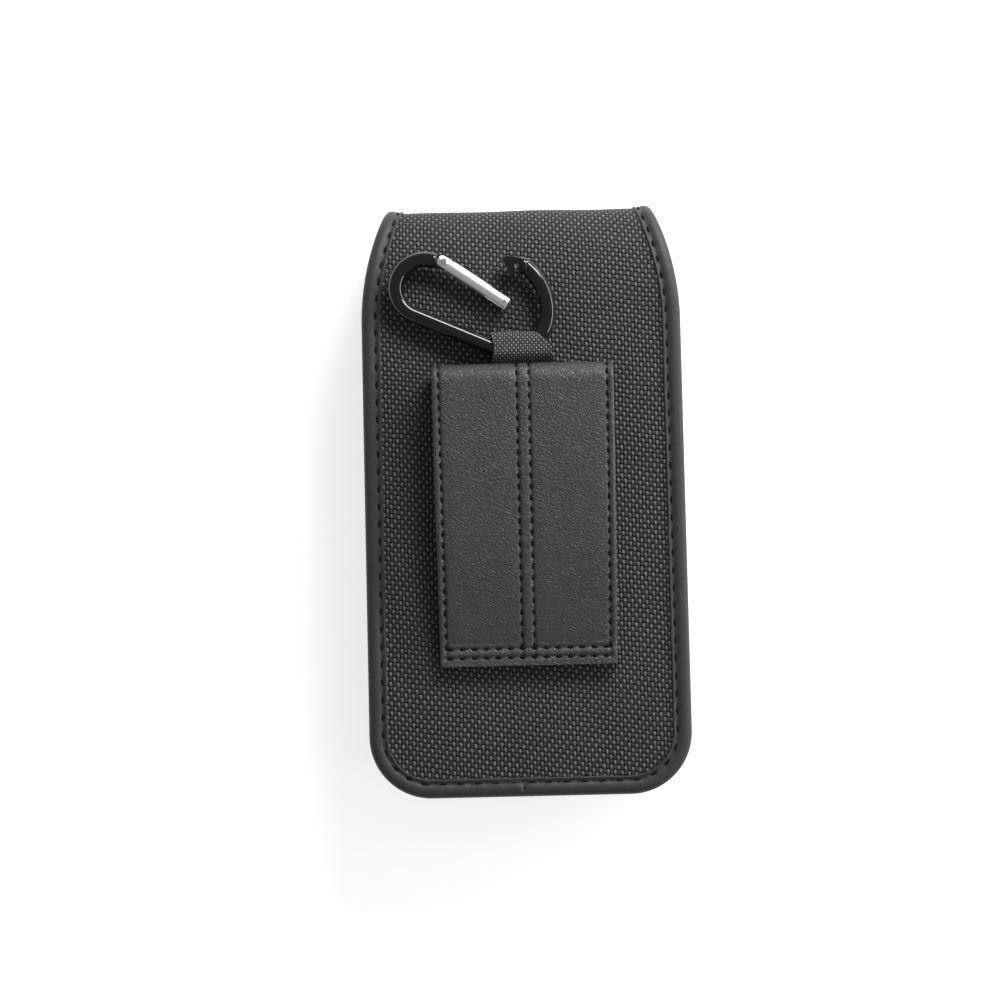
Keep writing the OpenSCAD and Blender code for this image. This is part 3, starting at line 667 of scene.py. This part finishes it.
# Stitches
def stitch_tree(name):
    """Geometry Nodes: a line is stepped by the pitch, and one short twisted thread lies along each step."""
    tree = bpy.data.node_groups.new(name, "GeometryNodeTree")
    face = tree.interface
    face.new_socket("Line", in_out="INPUT", socket_type="NodeSocketGeometry")
    sizes = {}
    for label, value in (("Pitch", 5.0), ("Length", 3.8), ("Thickness", 0.5)):
        socket = face.new_socket(label, in_out="INPUT", socket_type="NodeSocketFloat")
        socket.default_value = value * MM
        sizes[label] = socket.identifier
    thread = face.new_socket("Thread", in_out="INPUT", socket_type="NodeSocketMaterial")
    sizes["Thread"] = thread.identifier
    face.new_socket("Stitches", in_out="OUTPUT", socket_type="NodeSocketGeometry")
    add = tree.nodes.new
    given, result = add("NodeGroupInput"), add("NodeGroupOutput")
    curve = add("GeometryNodeMeshToCurve")
    step = add("GeometryNodeResampleCurve")
    step.mode = "LENGTH"
    ball = add("GeometryNodeMeshUVSphere")
    for label, value in (("Segments", 8), ("Rings", 8), ("Radius", 0.5)):
        ball.inputs[label].default_value = value
    size = add("ShaderNodeCombineXYZ")
    stretch = add("GeometryNodeTransform")
    tangent = add("GeometryNodeInputTangent")
    turn = add("FunctionNodeAlignRotationToVector")
    turn.axis = "Z"
    put = add("GeometryNodeInstanceOnPoints")
    real = add("GeometryNodeRealizeInstances")
    smooth = add("GeometryNodeSetShadeSmooth")
    coat = add("GeometryNodeSetMaterial")
    for source, out, target, into in (
        (given, "Line", curve, "Mesh"), (curve, "Curve", step, "Curve"), (given, "Pitch", step, "Length"),
        (given, "Thickness", size, "X"), (given, "Thickness", size, "Y"), (given, "Length", size, "Z"),
        (size, "Vector", stretch, "Scale"), (ball, "Mesh", stretch, "Geometry"),
        (step, "Curve", put, "Points"), (stretch, "Geometry", put, "Instance"),
        (tangent, "Tangent", turn, "Vector"), (turn, "Rotation", put, "Rotation"),
        (put, "Instances", real, "Geometry"), (real, "Geometry", smooth, "Geometry"),
        (smooth, "Geometry", coat, "Geometry"), (given, "Thread", coat, "Material"),
        (coat, "Geometry", result, "Stitches"),
    ):
        tree.links.new(source.outputs[out], target.inputs[into])
    return tree, sizes


STITCH_TREE, STITCH_SIZES = stitch_tree("stitches")
# Length and thickness of a stitch
TAPE_STITCH = (2.3, 0.66)
STRAP_STITCH = (1.85, 0.98)


def stitched(name, lines, pitch, length, thickness):
    """Stitches along lines of points in mm, as one plain mesh."""
    points, edges = [], []
    for line in lines:
        start = len(points)
        points += list(line * MM)
        edges += [(start + i, start + i + 1) for i in range(len(line) - 1)]
    data = bpy.data.meshes.new(name + "_line")
    data.from_pydata([tuple(p) for p in points], edges, [])
    guide = placed(name + "_line", data)
    modifier = guide.modifiers.new("stitches", "NODES")
    modifier.node_group = STITCH_TREE
    for label, size in (("Pitch", pitch), ("Length", length), ("Thickness", thickness)):
        modifier[STITCH_SIZES[label]] = size * MM
    modifier[STITCH_SIZES["Thread"]] = THREAD
    bake(guide)
    guide.data.name = name
    piece = placed(name, guide.data)
    bpy.data.objects.remove(guide)
    return piece


def bent(piece, part):
    """Bakes a piece's place into its mesh, the same for the back's pieces and the flap's."""
    if part == "back":
        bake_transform(piece)
    else:
        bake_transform(piece)


def fixed(piece, body, slot, *nodes):
    """A piece that moves with one body, with the solids that it stands for hidden; its finish is not used."""
    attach(piece, body)
    if nodes:
        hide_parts(*nodes)


def sheet_of(length):
    length * MM


def make_strip(part, length, half, joint, *fold_nodes):
    """The plies, tape and stitches of the back with the fold, or of the flap."""
    outer = strip_ply(part + "_nylon", part, SHELL, NYLON, 96, relief=0.10)
    core = strip_ply(part + "_core", part, BOARD, STIFFENER, 24)
    inner = strip_ply(part + "_inside", part, LINING, LINING_CLOTH, 32)
    edge, row, tape_length = tape(part + "_tape", part, joint)
    seam = stitched(part + "_tape_stitches", [row], STITCH_PITCH, *TAPE_STITCH)
    for i, (piece, slot, node) in enumerate((
        (outer, "ballistic_nylon", "_shell"),
        (core, "stiffener", "_board"),
        (inner, "lining_cloth", "_lining"),
        (edge, "edge_leatherette", "_binding"),
    )):
        bent(piece, part)
        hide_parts(part + node, *fold_nodes[i:i + 1])
    bent(seam, part)
    for piece, under in ((outer, "_core"), (core, "_inside"), (inner, "_tape")):
        sheet_of(length - PLY_INSET)
    sheet_of(tape_length)


# Front, mouth and gusset of the pouch
END_ROUND = 0.22
MOUTH_HALF = FRONT_X - 5.46


def turned_in(piece, low, high):
    """Adds a tape's turned-in end to it: a small rounded block that hides the cut plies."""
    low, high = Vector(low) * MM, Vector(high) * MM
    work = bmesh.new()
    work.from_mesh(piece.data)
    place = Matrix.Translation((low + high) / 2) @ Matrix.Diagonal((*(high - low), 1))
    block = bmesh.ops.create_cube(work, size=1.0, matrix=place)["verts"]
    edges = list({e for v in block for e in v.link_edges})
    made = bmesh.ops.bevel(work, geom=edges, offset=END_ROUND * MM, segments=2, affect="EDGES", profile=0.5)
    layer = work.loops.layers.uv["cloth"]
    for face in {f for v in block + made["verts"] if v.is_valid for f in v.link_faces}:
        face.smooth = True
        for corner in face.loops:
            corner[layer].uv = (corner.vert.co.x / MM, (corner.vert.co.y + corner.vert.co.z) / MM)
    work.to_mesh(piece.data)
    work.free()


def make_front():
    """The front's nylon and lining, with the narrow tape round its sides and bottom."""
    y = ply_rows(FRONT_BOTTOM + PLY_INSET, MOUTH - PLY_INSET, FRONT_CORNER - PLY_INSET, 0)
    half = row_half(y - FRONT_BOTTOM, FRONT_CORNER, FRONT_X, PLY_INSET)
    y = y[:, None]
    x = half[:, None] * np.linspace(-1, 1, 65)
    for name, depth, material, slot, node in (
        ("front_nylon", SHELL, NYLON, "ballistic_nylon", "front_shell"),
        ("front_inside", LINING, LINING_CLOTH, "lining_cloth", "front_lining"),
    ):
        top, under = front_at(x, y, -depth[0]), front_at(x, y, -depth[1])
        piece = sheet_piece(name, top, under, stacked(x, y), material)
        fixed(piece, "pouch", slot, node)
        length = MOUTH - FRONT_BOTTOM - 2 * PLY_INSET
        sheet_of(length)
    edge, row, tape_length = tape("front_tape", "front", narrow=True)
    fixed(edge, "pouch", "edge_leatherette", "front_binding")
    sheet_of(tape_length)
    seam = stitched("front_tape_stitches", [row], STITCH_PITCH, *TAPE_STITCH)
    fixed(seam, "pouch", "edge_leatherette")


def make_mouth():
    """The same tape across the top of the front, between the side tapes, with its ends turned in."""
    xs = np.linspace(-MOUTH_HALF, MOUTH_HALF, 150)
    section = np.array(OUTER_LEG + ROLL + INNER_LEG + HOLLOW)
    first = seam_from(2 * MOUTH_HALF, STITCH_PITCH) - MOUTH_HALF
    z = FLAP_Z + FRONT_RISE
    inset, height, share = section.T
    over = (height > 0) & (inset > ROLL_IN)
    pull = pulls(xs, first, STITCH_PITCH, PULL_WIDTH)
    rise = height - 0.17 * np.where(over, share, 0) * pull[:, None]
    rings = stacked(xs[:, None], MOUTH - inset, z - rise)
    across = np.append(np.arange(len(section)) * 0.6, len(section) * 0.6)
    mouth = swept("mouth_tape", rings, stacked(across, xs[:, None]), EDGE)
    for side in (-1, 1):
        left, right = sorted((side * (MOUTH_HALF + 0.1), side * (FRONT_X - PLY_INSET - 0.1)))
        low, high = (left, MOUTH - PLY_INSET + 0.1, z + 0.08), (right, MOUTH - 0.12, z + LINING[1] - 0.08)
        turned_in(mouth, low, high)
    fixed(mouth, "pouch", "edge_leatherette", "mouth_binding")
    sheet_of(2 * FRONT_X - NARROW_WIDTH)
    row = stacked((first, -first), MOUTH - STITCH_IN, z - 0.16)
    seam = stitched("mouth_stitches", [row], STITCH_PITCH, *TAPE_STITCH)
    fixed(seam, "pouch", "edge_leatherette")


def make_gusset():
    """A nylon wall round the pouch that bows in a little."""
    line = respaced(bound_edge("front"), 0.9)
    inward = square_to(line)
    u = along(line)
    v = np.linspace(0, 1, 15)
    low = front_z(line[:, 1]) + LINING[1] + 0.05
    high = BACK_Z - LINING[1] - 0.05
    z = low[:, None] + (high - low)[:, None] * v
    bow = np.sin(v * math.pi) * (0.75 + wander(u, 0.9, 0.25)[:, None])
    skins = []
    for inset in (1.05, 2.15):
        x, y = (line[:, k, None] + inward[:, k, None] * (inset + bow) for k in (0, 1))
        skins.append(stacked(x, y, z))
    wall = sheet_piece("gusset_wall", *skins, stacked(u[:, None], z), NYLON)
    fixed(wall, "pouch", "ballistic_nylon", "gusset")
    sheet_of(20.0)


# Belt loop
CENTRE_ROWS = (-1.7, 1.7)
EDGE_ROW_IN = 1.9
BOTTOM_ROWS = (2.35, 4.9)
FIRST_S = BOTTOM_ROWS[0]
STRAP_PITCH, UP_STITCHES = 3.2, 27
END_PITCH = STRAP_PITCH * 1.0625
ROW_SINK = 0.30
RIM = 0.6
FACE_HALF = 24.4
# The hollow under the strap for the tab's two plies: its half-width, lower end and ceiling
TAB_ROOM_X, TAB_ROOM_Y, TAB_ROOM_Z = 9.2, LOOP_TOP - 12.6, LOOP_Z + 1.12


def loop_half(y):
    """Half-width of the strap, which widens slightly upwards."""
    return 25.2 + 0.7 * (y - LOOP_BOTTOM) / (LOOP_TOP - LOOP_BOTTOM)


def loop_line():
    """Middle of the strap as (y, z), its outward normal and the length along: up the front, over and down."""
    close = np.arange(LOOP_BOTTOM, LOOP_BOTTOM + 7, 0.3)
    y_up = np.concatenate([close, np.arange(LOOP_BOTTOM + 7, LOOP_FOLD_Y, 0.55)])
    u = eased(y_up, LOOP_SEAM, LOOP_FOLD_Y - LOOP_SEAM)
    z_up = LOOP_Z + 1.5 * LOOP_T + BELT_GAP * (1 - (1 - u) ** 2)
    a = np.radians(np.linspace(90, -90, 33))
    r = LOOP_R - LOOP_T / 2
    y_down = np.linspace(LOOP_FOLD_Y, LOOP_BOTTOM, 90)[1:]
    y = np.concatenate([y_up, LOOP_FOLD_Y + r * np.cos(a), y_down])
    z = np.concatenate([z_up, LOOP_Z + LOOP_R + r * np.sin(a), np.full_like(y_down, LOOP_Z + LOOP_T / 2)])
    line = stacked(y, z)
    return line, -square_to(line), along(line)


def loop_relief(x, s, half):
    """Height of the strap's face over its plain surface: pillowed leather between sunken rows of stitches."""
    off, edge_row = np.abs(x), half - EDGE_ROW_IN
    dent = 0.0
    hole = pulls(s, FIRST_S, STRAP_PITCH, 0.85)
    for x0 in (*CENTRE_ROWS, -edge_row, edge_row):
        dent = dent + np.exp(-((x - x0) / 0.48) ** 2) * (0.20 + 0.26 * hole) * eased(s, 1.4, 0.8)
    inside = eased(edge_row + 0.5 - off, 0, 0.8)
    hole = pulls(x, CENTRE_ROWS[0], END_PITCH, 0.8)
    for row in BOTTOM_ROWS:
        dent = dent + np.exp(-((s - row) / 0.46) ** 2) * (0.22 + 0.26 * hole) * inside
    from_row = np.minimum(np.abs(x - CENTRE_ROWS[0]), np.abs(x - CENTRE_ROWS[1]))
    pillow = 0.26 * eased(from_row, 0, 3.5) ** 0.6 * eased(edge_row - off, 0, 3) ** 0.6 * eased(s, 5, 4)
    middle = (0.10 * (off < CENTRE_ROWS[1]) + 0.14 * (off > edge_row)) * eased(s, 2, 2)
    between = 0.16 * np.exp(-((s - 3.6) / 0.75) ** 2)
    return pillow + middle + between + 0.07 * np.sin(x * 0.16 + 1.1) * np.sin(s * 0.09) - dent


def make_belt_loop():
    """One strap, up the front, over the fold and back down, with its rows of stitches."""
    line, normal, u = loop_line()
    back = line[:, 1] < LOOP_Z + LOOP_T * 0.51
    half = loop_half(line[:, 0])
    near = np.concatenate([np.linspace(r - 1.1, r + 1.1, 12) for r in CENTRE_ROWS])
    edge_row = np.linspace(FACE_HALF - 2.4, FACE_HALF, 12)
    face = np.unique(np.round(np.concatenate([np.arange(-22, 22.01, 0.8), near, edge_row, -edge_row]), 3))
    turn = np.radians(np.linspace(90, 0, 6))[1:]
    corner = [(RIM * math.cos(a), RIM * math.sin(a)) for a in turn]
    h = LOOP_T / 2
    rings = []
    for (y, z), (ny, nz), w, s, is_back in zip(line, normal, half, u, back):
        x = face * (w - RIM) / FACE_HALF
        lift = np.zeros_like(x) if is_back else loop_relief(x, s, w)
        right = [(w - RIM + c, h - RIM + d) for c, d in corner] + [(w, -h + RIM)]
        right += [(w - RIM + c, -h + RIM - d) for c, d in corner[::-1]]
        under = [(x, -h) for x in np.linspace(w - RIM, -w + RIM, 25)]
        section = [*zip(x, h + lift), *right, *under, *((-x, -out) for x, out in right)]
        x, out = np.array(section).T
        ring = stacked(x, y + ny * out, z + nz * out)
        over_tab = (np.abs(ring[:, 0]) < TAB_ROOM_X) & (ring[:, 1] > TAB_ROOM_Y)
        ring[:, 2] = np.where(over_tab, np.maximum(ring[:, 2], TAB_ROOM_Z), ring[:, 2])
        rings.append(ring)
    rings = np.array(rings)
    across = rings[:, :, 0]
    maps = stacked(np.concatenate([across, across[:, :1]], 1), u[:, None])
    strap = swept("belt_strap", rings, maps, STRAP, sharp=60)
    fixed(strap, "pouch", "loop_leatherette", "belt_loop")
    sheet_of(u[-1])
    fixed(stitched("strap_stitches", up_rows(line, normal, half, u), STRAP_PITCH, *STRAP_STITCH),
          "pouch", "loop_leatherette")
    fixed(stitched("strap_end_stitches", end_rows(), END_PITCH, *STRAP_STITCH), "pouch", "loop_leatherette")


def up_rows(line, normal, half, u):
    """Rows of stitches up the front and over the fold: two in the middle and one along each edge."""
    y, z = (line + normal * (LOOP_T / 2 - ROW_SINK)).T
    first, last = FIRST_S + STRAP_PITCH, FIRST_S + STRAP_PITCH * UP_STITCHES
    sides = (*CENTRE_ROWS, EDGE_ROW_IN - half, half - EDGE_ROW_IN)
    return [cut_row(stacked(x, y, z), u, first, last) for x in sides]


def end_rows():
    """Two rows of stitches across the sewn end."""
    ends = (CENTRE_ROWS[0] - 6 * END_PITCH, CENTRE_ROWS[1] + 6 * END_PITCH)
    z = LOOP_Z + 2 * LOOP_T - ROW_SINK
    return [stacked(ends, LOOP_BOTTOM + s, z) for s in BOTTOM_ROWS]


# Webbing tab
WEB_T = 0.5


def make_tab():
    """A band from under the strap, round the bar and back, with the corner over the bar turned in."""
    r = BAR_R + 0.2 + WEB_T / 2
    tip_y = TAB_HOLD + 2.6

    def bend(y, first, last, count):
        turns = np.radians(np.linspace(first, last, count))
        return [(y + r * math.cos(a), RING_Z + r * math.sin(a)) for a in turns]

    under = [(y, LOOP_Z + 0.26) for y in np.linspace(LOOP_TOP - 12, TAB_HOLD - 2.0, 18)]
    low = [(y, RING_Z - r) for y in np.linspace(TAB_HOLD, tip_y, 6)]
    tip = bend(tip_y, -80, 80, 17)
    high = [(y, RING_Z + r) for y in np.linspace(tip_y, TAB_HOLD + 0.3, 6)]
    near = bend(TAB_HOLD, 96, 128, 5)
    dive = [(LOOP_TOP + 0.75, RING_Z + 0.3), (LOOP_TOP + 0.15, LOOP_Z + 2.0), (LOOP_TOP - 0.6, LOOP_Z + 1.15),
            (LOOP_TOP - 1.6, LOOP_Z + 0.84), (LOOP_TOP - 3, LOOP_Z + 0.80), (LOOP_TOP - 9, LOOP_Z + 0.80)]
    line = spread(np.array(under + low + tip + high + near + dive), 150)
    for _ in range(3):
        line[1:-1] = (line[:-2] + 2 * line[1:-1] + line[2:]) / 4
    normal = square_to(line)
    u = along(line)
    turned = eased(line[:, 0], TAB_HOLD + 0.9, 4.2)
    left = -8.2 + 0.25 * np.sin(u * 0.7)
    right = 8.75 - 4.6 * turned - 0.15 * np.sin(u * 0.9)
    c = np.linspace(0, 1, 25)
    x = left[:, None] + (right - left)[:, None] * c
    sag = -0.12 * np.sin(c * math.pi * 2) * np.sin(u * 0.5)[:, None]
    skins = []
    for side in (0.5, -0.5):
        h = side * WEB_T + sag * 0.4
        skins.append(stacked(x, line[:, :1] + normal[:, :1] * h, line[:, 1:] + normal[:, 1:] * h))
    tab = sheet_piece("webbing_tab", *skins, stacked(x, u[:, None]), WEB)
    Vector((0, TAB_HOLD - 2.5, 27.6)) * MM
    Vector((0, TAB_HOLD + 1.5, 30.0)) * MM
    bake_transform(tab)
    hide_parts("carabiner_tab")
    sheet_of(u[-1])


# Carabiner
RING_POINTS, BAR_SIDES, COLLAR_SIDES = 260, 28, 48
PLATE_T, TONGUE_R = 2.0, 1.85


def ring_path():
    """The bar's middle line from the hinge stub round to the nose."""
    return np.concatenate([
        [PIVOT - polar(2.35, STUB_DIR)],
        arc(*HINGE_CENTRE, HINGE_BEND_R, 90 + STUB_DIR, 360 + SPINE_NORMAL, 60),
        arc(*TAB_CENTRE, TAB_BEND_R, SPINE_NORMAL, 0, 60),
        arc(*NOSE_CENTRE, NOSE_BEND_R, 1, NOSE_END, 40),
    ])


def tube(line, radius):
    """A round bar along a line in the ring's plane, with one radius for each point."""
    side = stacked(*-square_to(line).T, 0.0)
    a = np.linspace(0, 2 * math.pi, BAR_SIDES, endpoint=False)
    middle = stacked(*line.T, RING_Z)
    out = np.cos(a)[:, None] * side[:, None, :] + np.sin(a)[:, None] * np.array([0, 0, 1.0])
    return middle[:, None, :] + radius[:, None, None] * out


def turned_piece(profile, origin):
    """A turned shape about +X: profile is (distance along, radius)."""
    a = np.linspace(0, 2 * math.pi, COLLAR_SIDES, endpoint=False)
    x, y, z = origin
    return np.array([stacked(x + p, y + r * np.cos(a), z + r * np.sin(a)) for p, r in profile])


def plate(outline, x0, y0):
    """A flat plate lying in the ring's plane."""
    top = [(x + x0, y + y0, RING_Z + PLATE_T / 2) for x, y in outline]
    low = [(x, y, z - PLATE_T) for x, y, z in top]
    n = len(outline)
    faces = [list(range(n)), list(range(2 * n - 1, n - 1, -1))]
    faces += [[i, n + i, n + (i + 1) % n, (i + 1) % n] for i in range(n)]
    return top + low, faces


def joined(name, parts, material, bevel=0.0):
    """One mesh from several closed shells."""
    points, faces = [], []
    for p, f in parts:
        faces += [[int(i) + len(points) for i in face] for face in f]
        points += [tuple(q) for q in p]
    piece = mesh_piece(name, points, faces, None, material, 35)
    if bevel:
        modifier = piece.modifiers.new("bevel", "BEVEL")
        modifier.width, modifier.segments, modifier.limit_method = bevel * MM, 3, "ANGLE"
        modifier.angle_limit = math.radians(50)
        bake(piece)
    return piece


def shell_of(rings):
    """The points and faces of a closed shell from its rings, both ends capped."""
    rows, cols, _ = rings.shape
    faces, _ = grid_faces(rows, cols, True)
    caps = [list(range(cols))[::-1], [(rows - 1) * cols + j for j in range(cols)]]
    return rings.reshape(-1, 3), list(map(list, faces)) + caps


# Profile of the collar behind the hook, and the hook's outline from the closed latch pin: its tip, then the
# groove up which the pin swings
COLLAR = [(0.0, 1.6), (0.0, 2.15), (0.25, 2.5), (0.5, 2.56), (1.35, 2.56), (1.6, 2.46), (1.75, 2.3),
          (2.3, 2.2), (2.4, 1.2)]
HOOK_TIP = [(-3.0, 2.9), (-3.5, 2.55), (-3.8, 1.5), (-1.6, -2.35)]
GROOVE = [(-1.02, -2.75), (-0.78, -1.4), (-0.68, 0.0), (-0.66, 0.36), (-0.36, 0.64), (0.36, 0.64),
          (0.66, 0.36), (0.68, 0.0), (0.58, -1.4), (0.34, -2.82)]


def make_carabiner():
    """The ring with its collar, and the two flat tips: the hook and the tongue that holds the gate."""
    path = ring_path()
    radius = BAR_R - 0.35 * np.clip(1 - np.linspace(0, along(path)[-1], RING_POINTS) / 0.45, 0, 1)
    collar = turned_piece(COLLAR, (COLLAR_X, CLOSED_PIN[1], RING_Z))
    root = COLLAR_X + 1 - CLOSED_PIN[0]
    hook = plate([(root, 2.3), *HOOK_TIP, *GROOVE, (root, -1.9)], *CLOSED_PIN)
    ear = [polar(TONGUE_R, a) for a in np.linspace(STUB_DIR - 90, STUB_DIR + 90, 19)]
    back, across = polar(3.5, 180 + STUB_DIR), polar(TONGUE_R, 90 + STUB_DIR)
    tongue = plate([*ear, back + across, back - across], *PIVOT)
    bar = tube(spread(path, RING_POINTS), radius)
    ring = joined("carabiner_ring", [shell_of(bar), shell_of(collar)], ENAMEL)
    tips = joined("carabiner_tips", [hook, tongue], ENAMEL, bevel=0.22)
    fixed(ring, "carabiner", "black_enamel", "carabiner_body")
    fixed(tips, "carabiner", "black_enamel")


def make_gate():
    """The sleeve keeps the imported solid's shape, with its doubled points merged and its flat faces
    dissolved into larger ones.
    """
    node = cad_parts["gate_sleeve"]
    data = node.data.copy()
    data.name = "gate_tube"
    work = bmesh.new()
    work.from_mesh(data)
    bmesh.ops.remove_doubles(work, verts=work.verts, dist=1e-6)
    bmesh.ops.dissolve_limit(work, angle_limit=math.radians(1), verts=work.verts, edges=work.edges)
    work.to_mesh(data)
    work.free()
    data.materials.clear()
    data.materials.append(ALUMINIUM)
    data.shade_smooth()
    data.set_sharp_from_angle(angle=math.radians(30))
    run = Vector((*polar(1, GATE_DIR), 0))
    pivot = Vector((*PIVOT, RING_Z)) * MM
    # Its round sides are shaded as one smooth cylinder
    spokes = [v.co - pivot - run * (v.co - pivot).dot(run) for v in data.vertices]
    rim = 0.99 * max(s.length for s in spokes)
    normals = [c.vector.copy() for c in data.corner_normals]
    for face in data.polygons:
        for i in face.loop_indices:
            spoke = spokes[data.loops[i].vertex_index]
            if spoke.length > rim and face.normal.dot(spoke.normalized()) > 0.97:
                normals[i] = spoke.normalized()
    data.normals_split_custom_set(normals)
    fixed(placed("gate_tube", data), "gate", "satin_aluminium", "gate_sleeve")


NODES_BY_FINISH = (
    (NYLON, "back_shell", "fold_shell", "flap_shell", "front_shell", "gusset"),
    (STIFFENER, "back_board", "flap_board", "front_board"),
    (FOAM, "fold_foam"),
    (LINING_CLOTH, "back_lining", "fold_lining", "flap_lining", "front_lining"),
    (EDGE, "back_binding", "fold_binding", "flap_binding", "front_binding", "mouth_binding"),
    (STRAP, "belt_loop"),
    (WEB, "carabiner_tab"),
    (MAGNET, "pouch_magnet", "flap_magnet"),
    (ENAMEL, "carabiner_body"),
    (ALUMINIUM, "gate_sleeve"),
    (STEEL, "gate_hinge_pin", "gate_latch_pin", "gate_plunger"),
    (SPRING, "gate_spring"),
)


def finish_nodes():
    """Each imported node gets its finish, those that a piece stands for too."""
    for material, *names in NODES_BY_FINISH:
        for name in names:
            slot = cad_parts[name].material_slots[0]
            slot.link = "OBJECT"
            slot.material = material


# Floor and world
FLOOR_HALF, FLOOR_Z = 4, -0.0002
FLOOR_GLOW, SKY = 0.66, 0.30


def add_stage():
    """A pale floor that also glows for the camera and in what reflects it, and an even sky."""
    f = Finish("floor", Roughness=0.9, Base_Color=(0.86, 0.86, 0.86, 1))
    path = f.node("ShaderNodeLightPath").socket.node
    rays = [Value(f, path.outputs[f"Is {ray} Ray"]) for ray in ("Camera", "Glossy", "Transmission")]
    strength = (rays[0] + rays[1] + rays[2]).math("MINIMUM", 1.0) * FLOOR_GLOW
    glow = f.node("ShaderNodeEmission", {"Color": (1, 1, 1, 1), "Strength": strength})
    both = f.node("ShaderNodeAddShader", {0: Value(f, f.shader.outputs[0]), 1: glow})
    f.tree.links.new(both.socket, f.tree.nodes["Material Output"].inputs["Surface"])
    data = bpy.data.meshes.new("floor")
    corners = [(x * FLOOR_HALF, y * FLOOR_HALF, FLOOR_Z) for x, y in ((-1, -1), (1, -1), (1, 1), (-1, 1))]
    data.from_pydata(corners, [], [(0, 1, 2, 3)])
    data.materials.append(f.material)
    placed("floor", data)
    world = bpy.data.worlds.new("world")
    bpy.context.scene.world = world
    world.use_nodes = True
    sky = world.node_tree.nodes["Background"]
    sky.inputs["Color"].default_value = (1, 1, 1, 1)
    sky.inputs["Strength"].default_value = SKY


make_strip("back", S_APEX, SIDE, True, "fold_shell", "fold_foam", "fold_lining", "fold_binding")
make_strip("flap", S_END - S_APEX, FLAP_HALF, False)
make_front()
make_mouth()
make_gusset()
make_belt_loop()
make_tab()
make_carabiner()
make_gate()
finish_nodes()
add_stage()
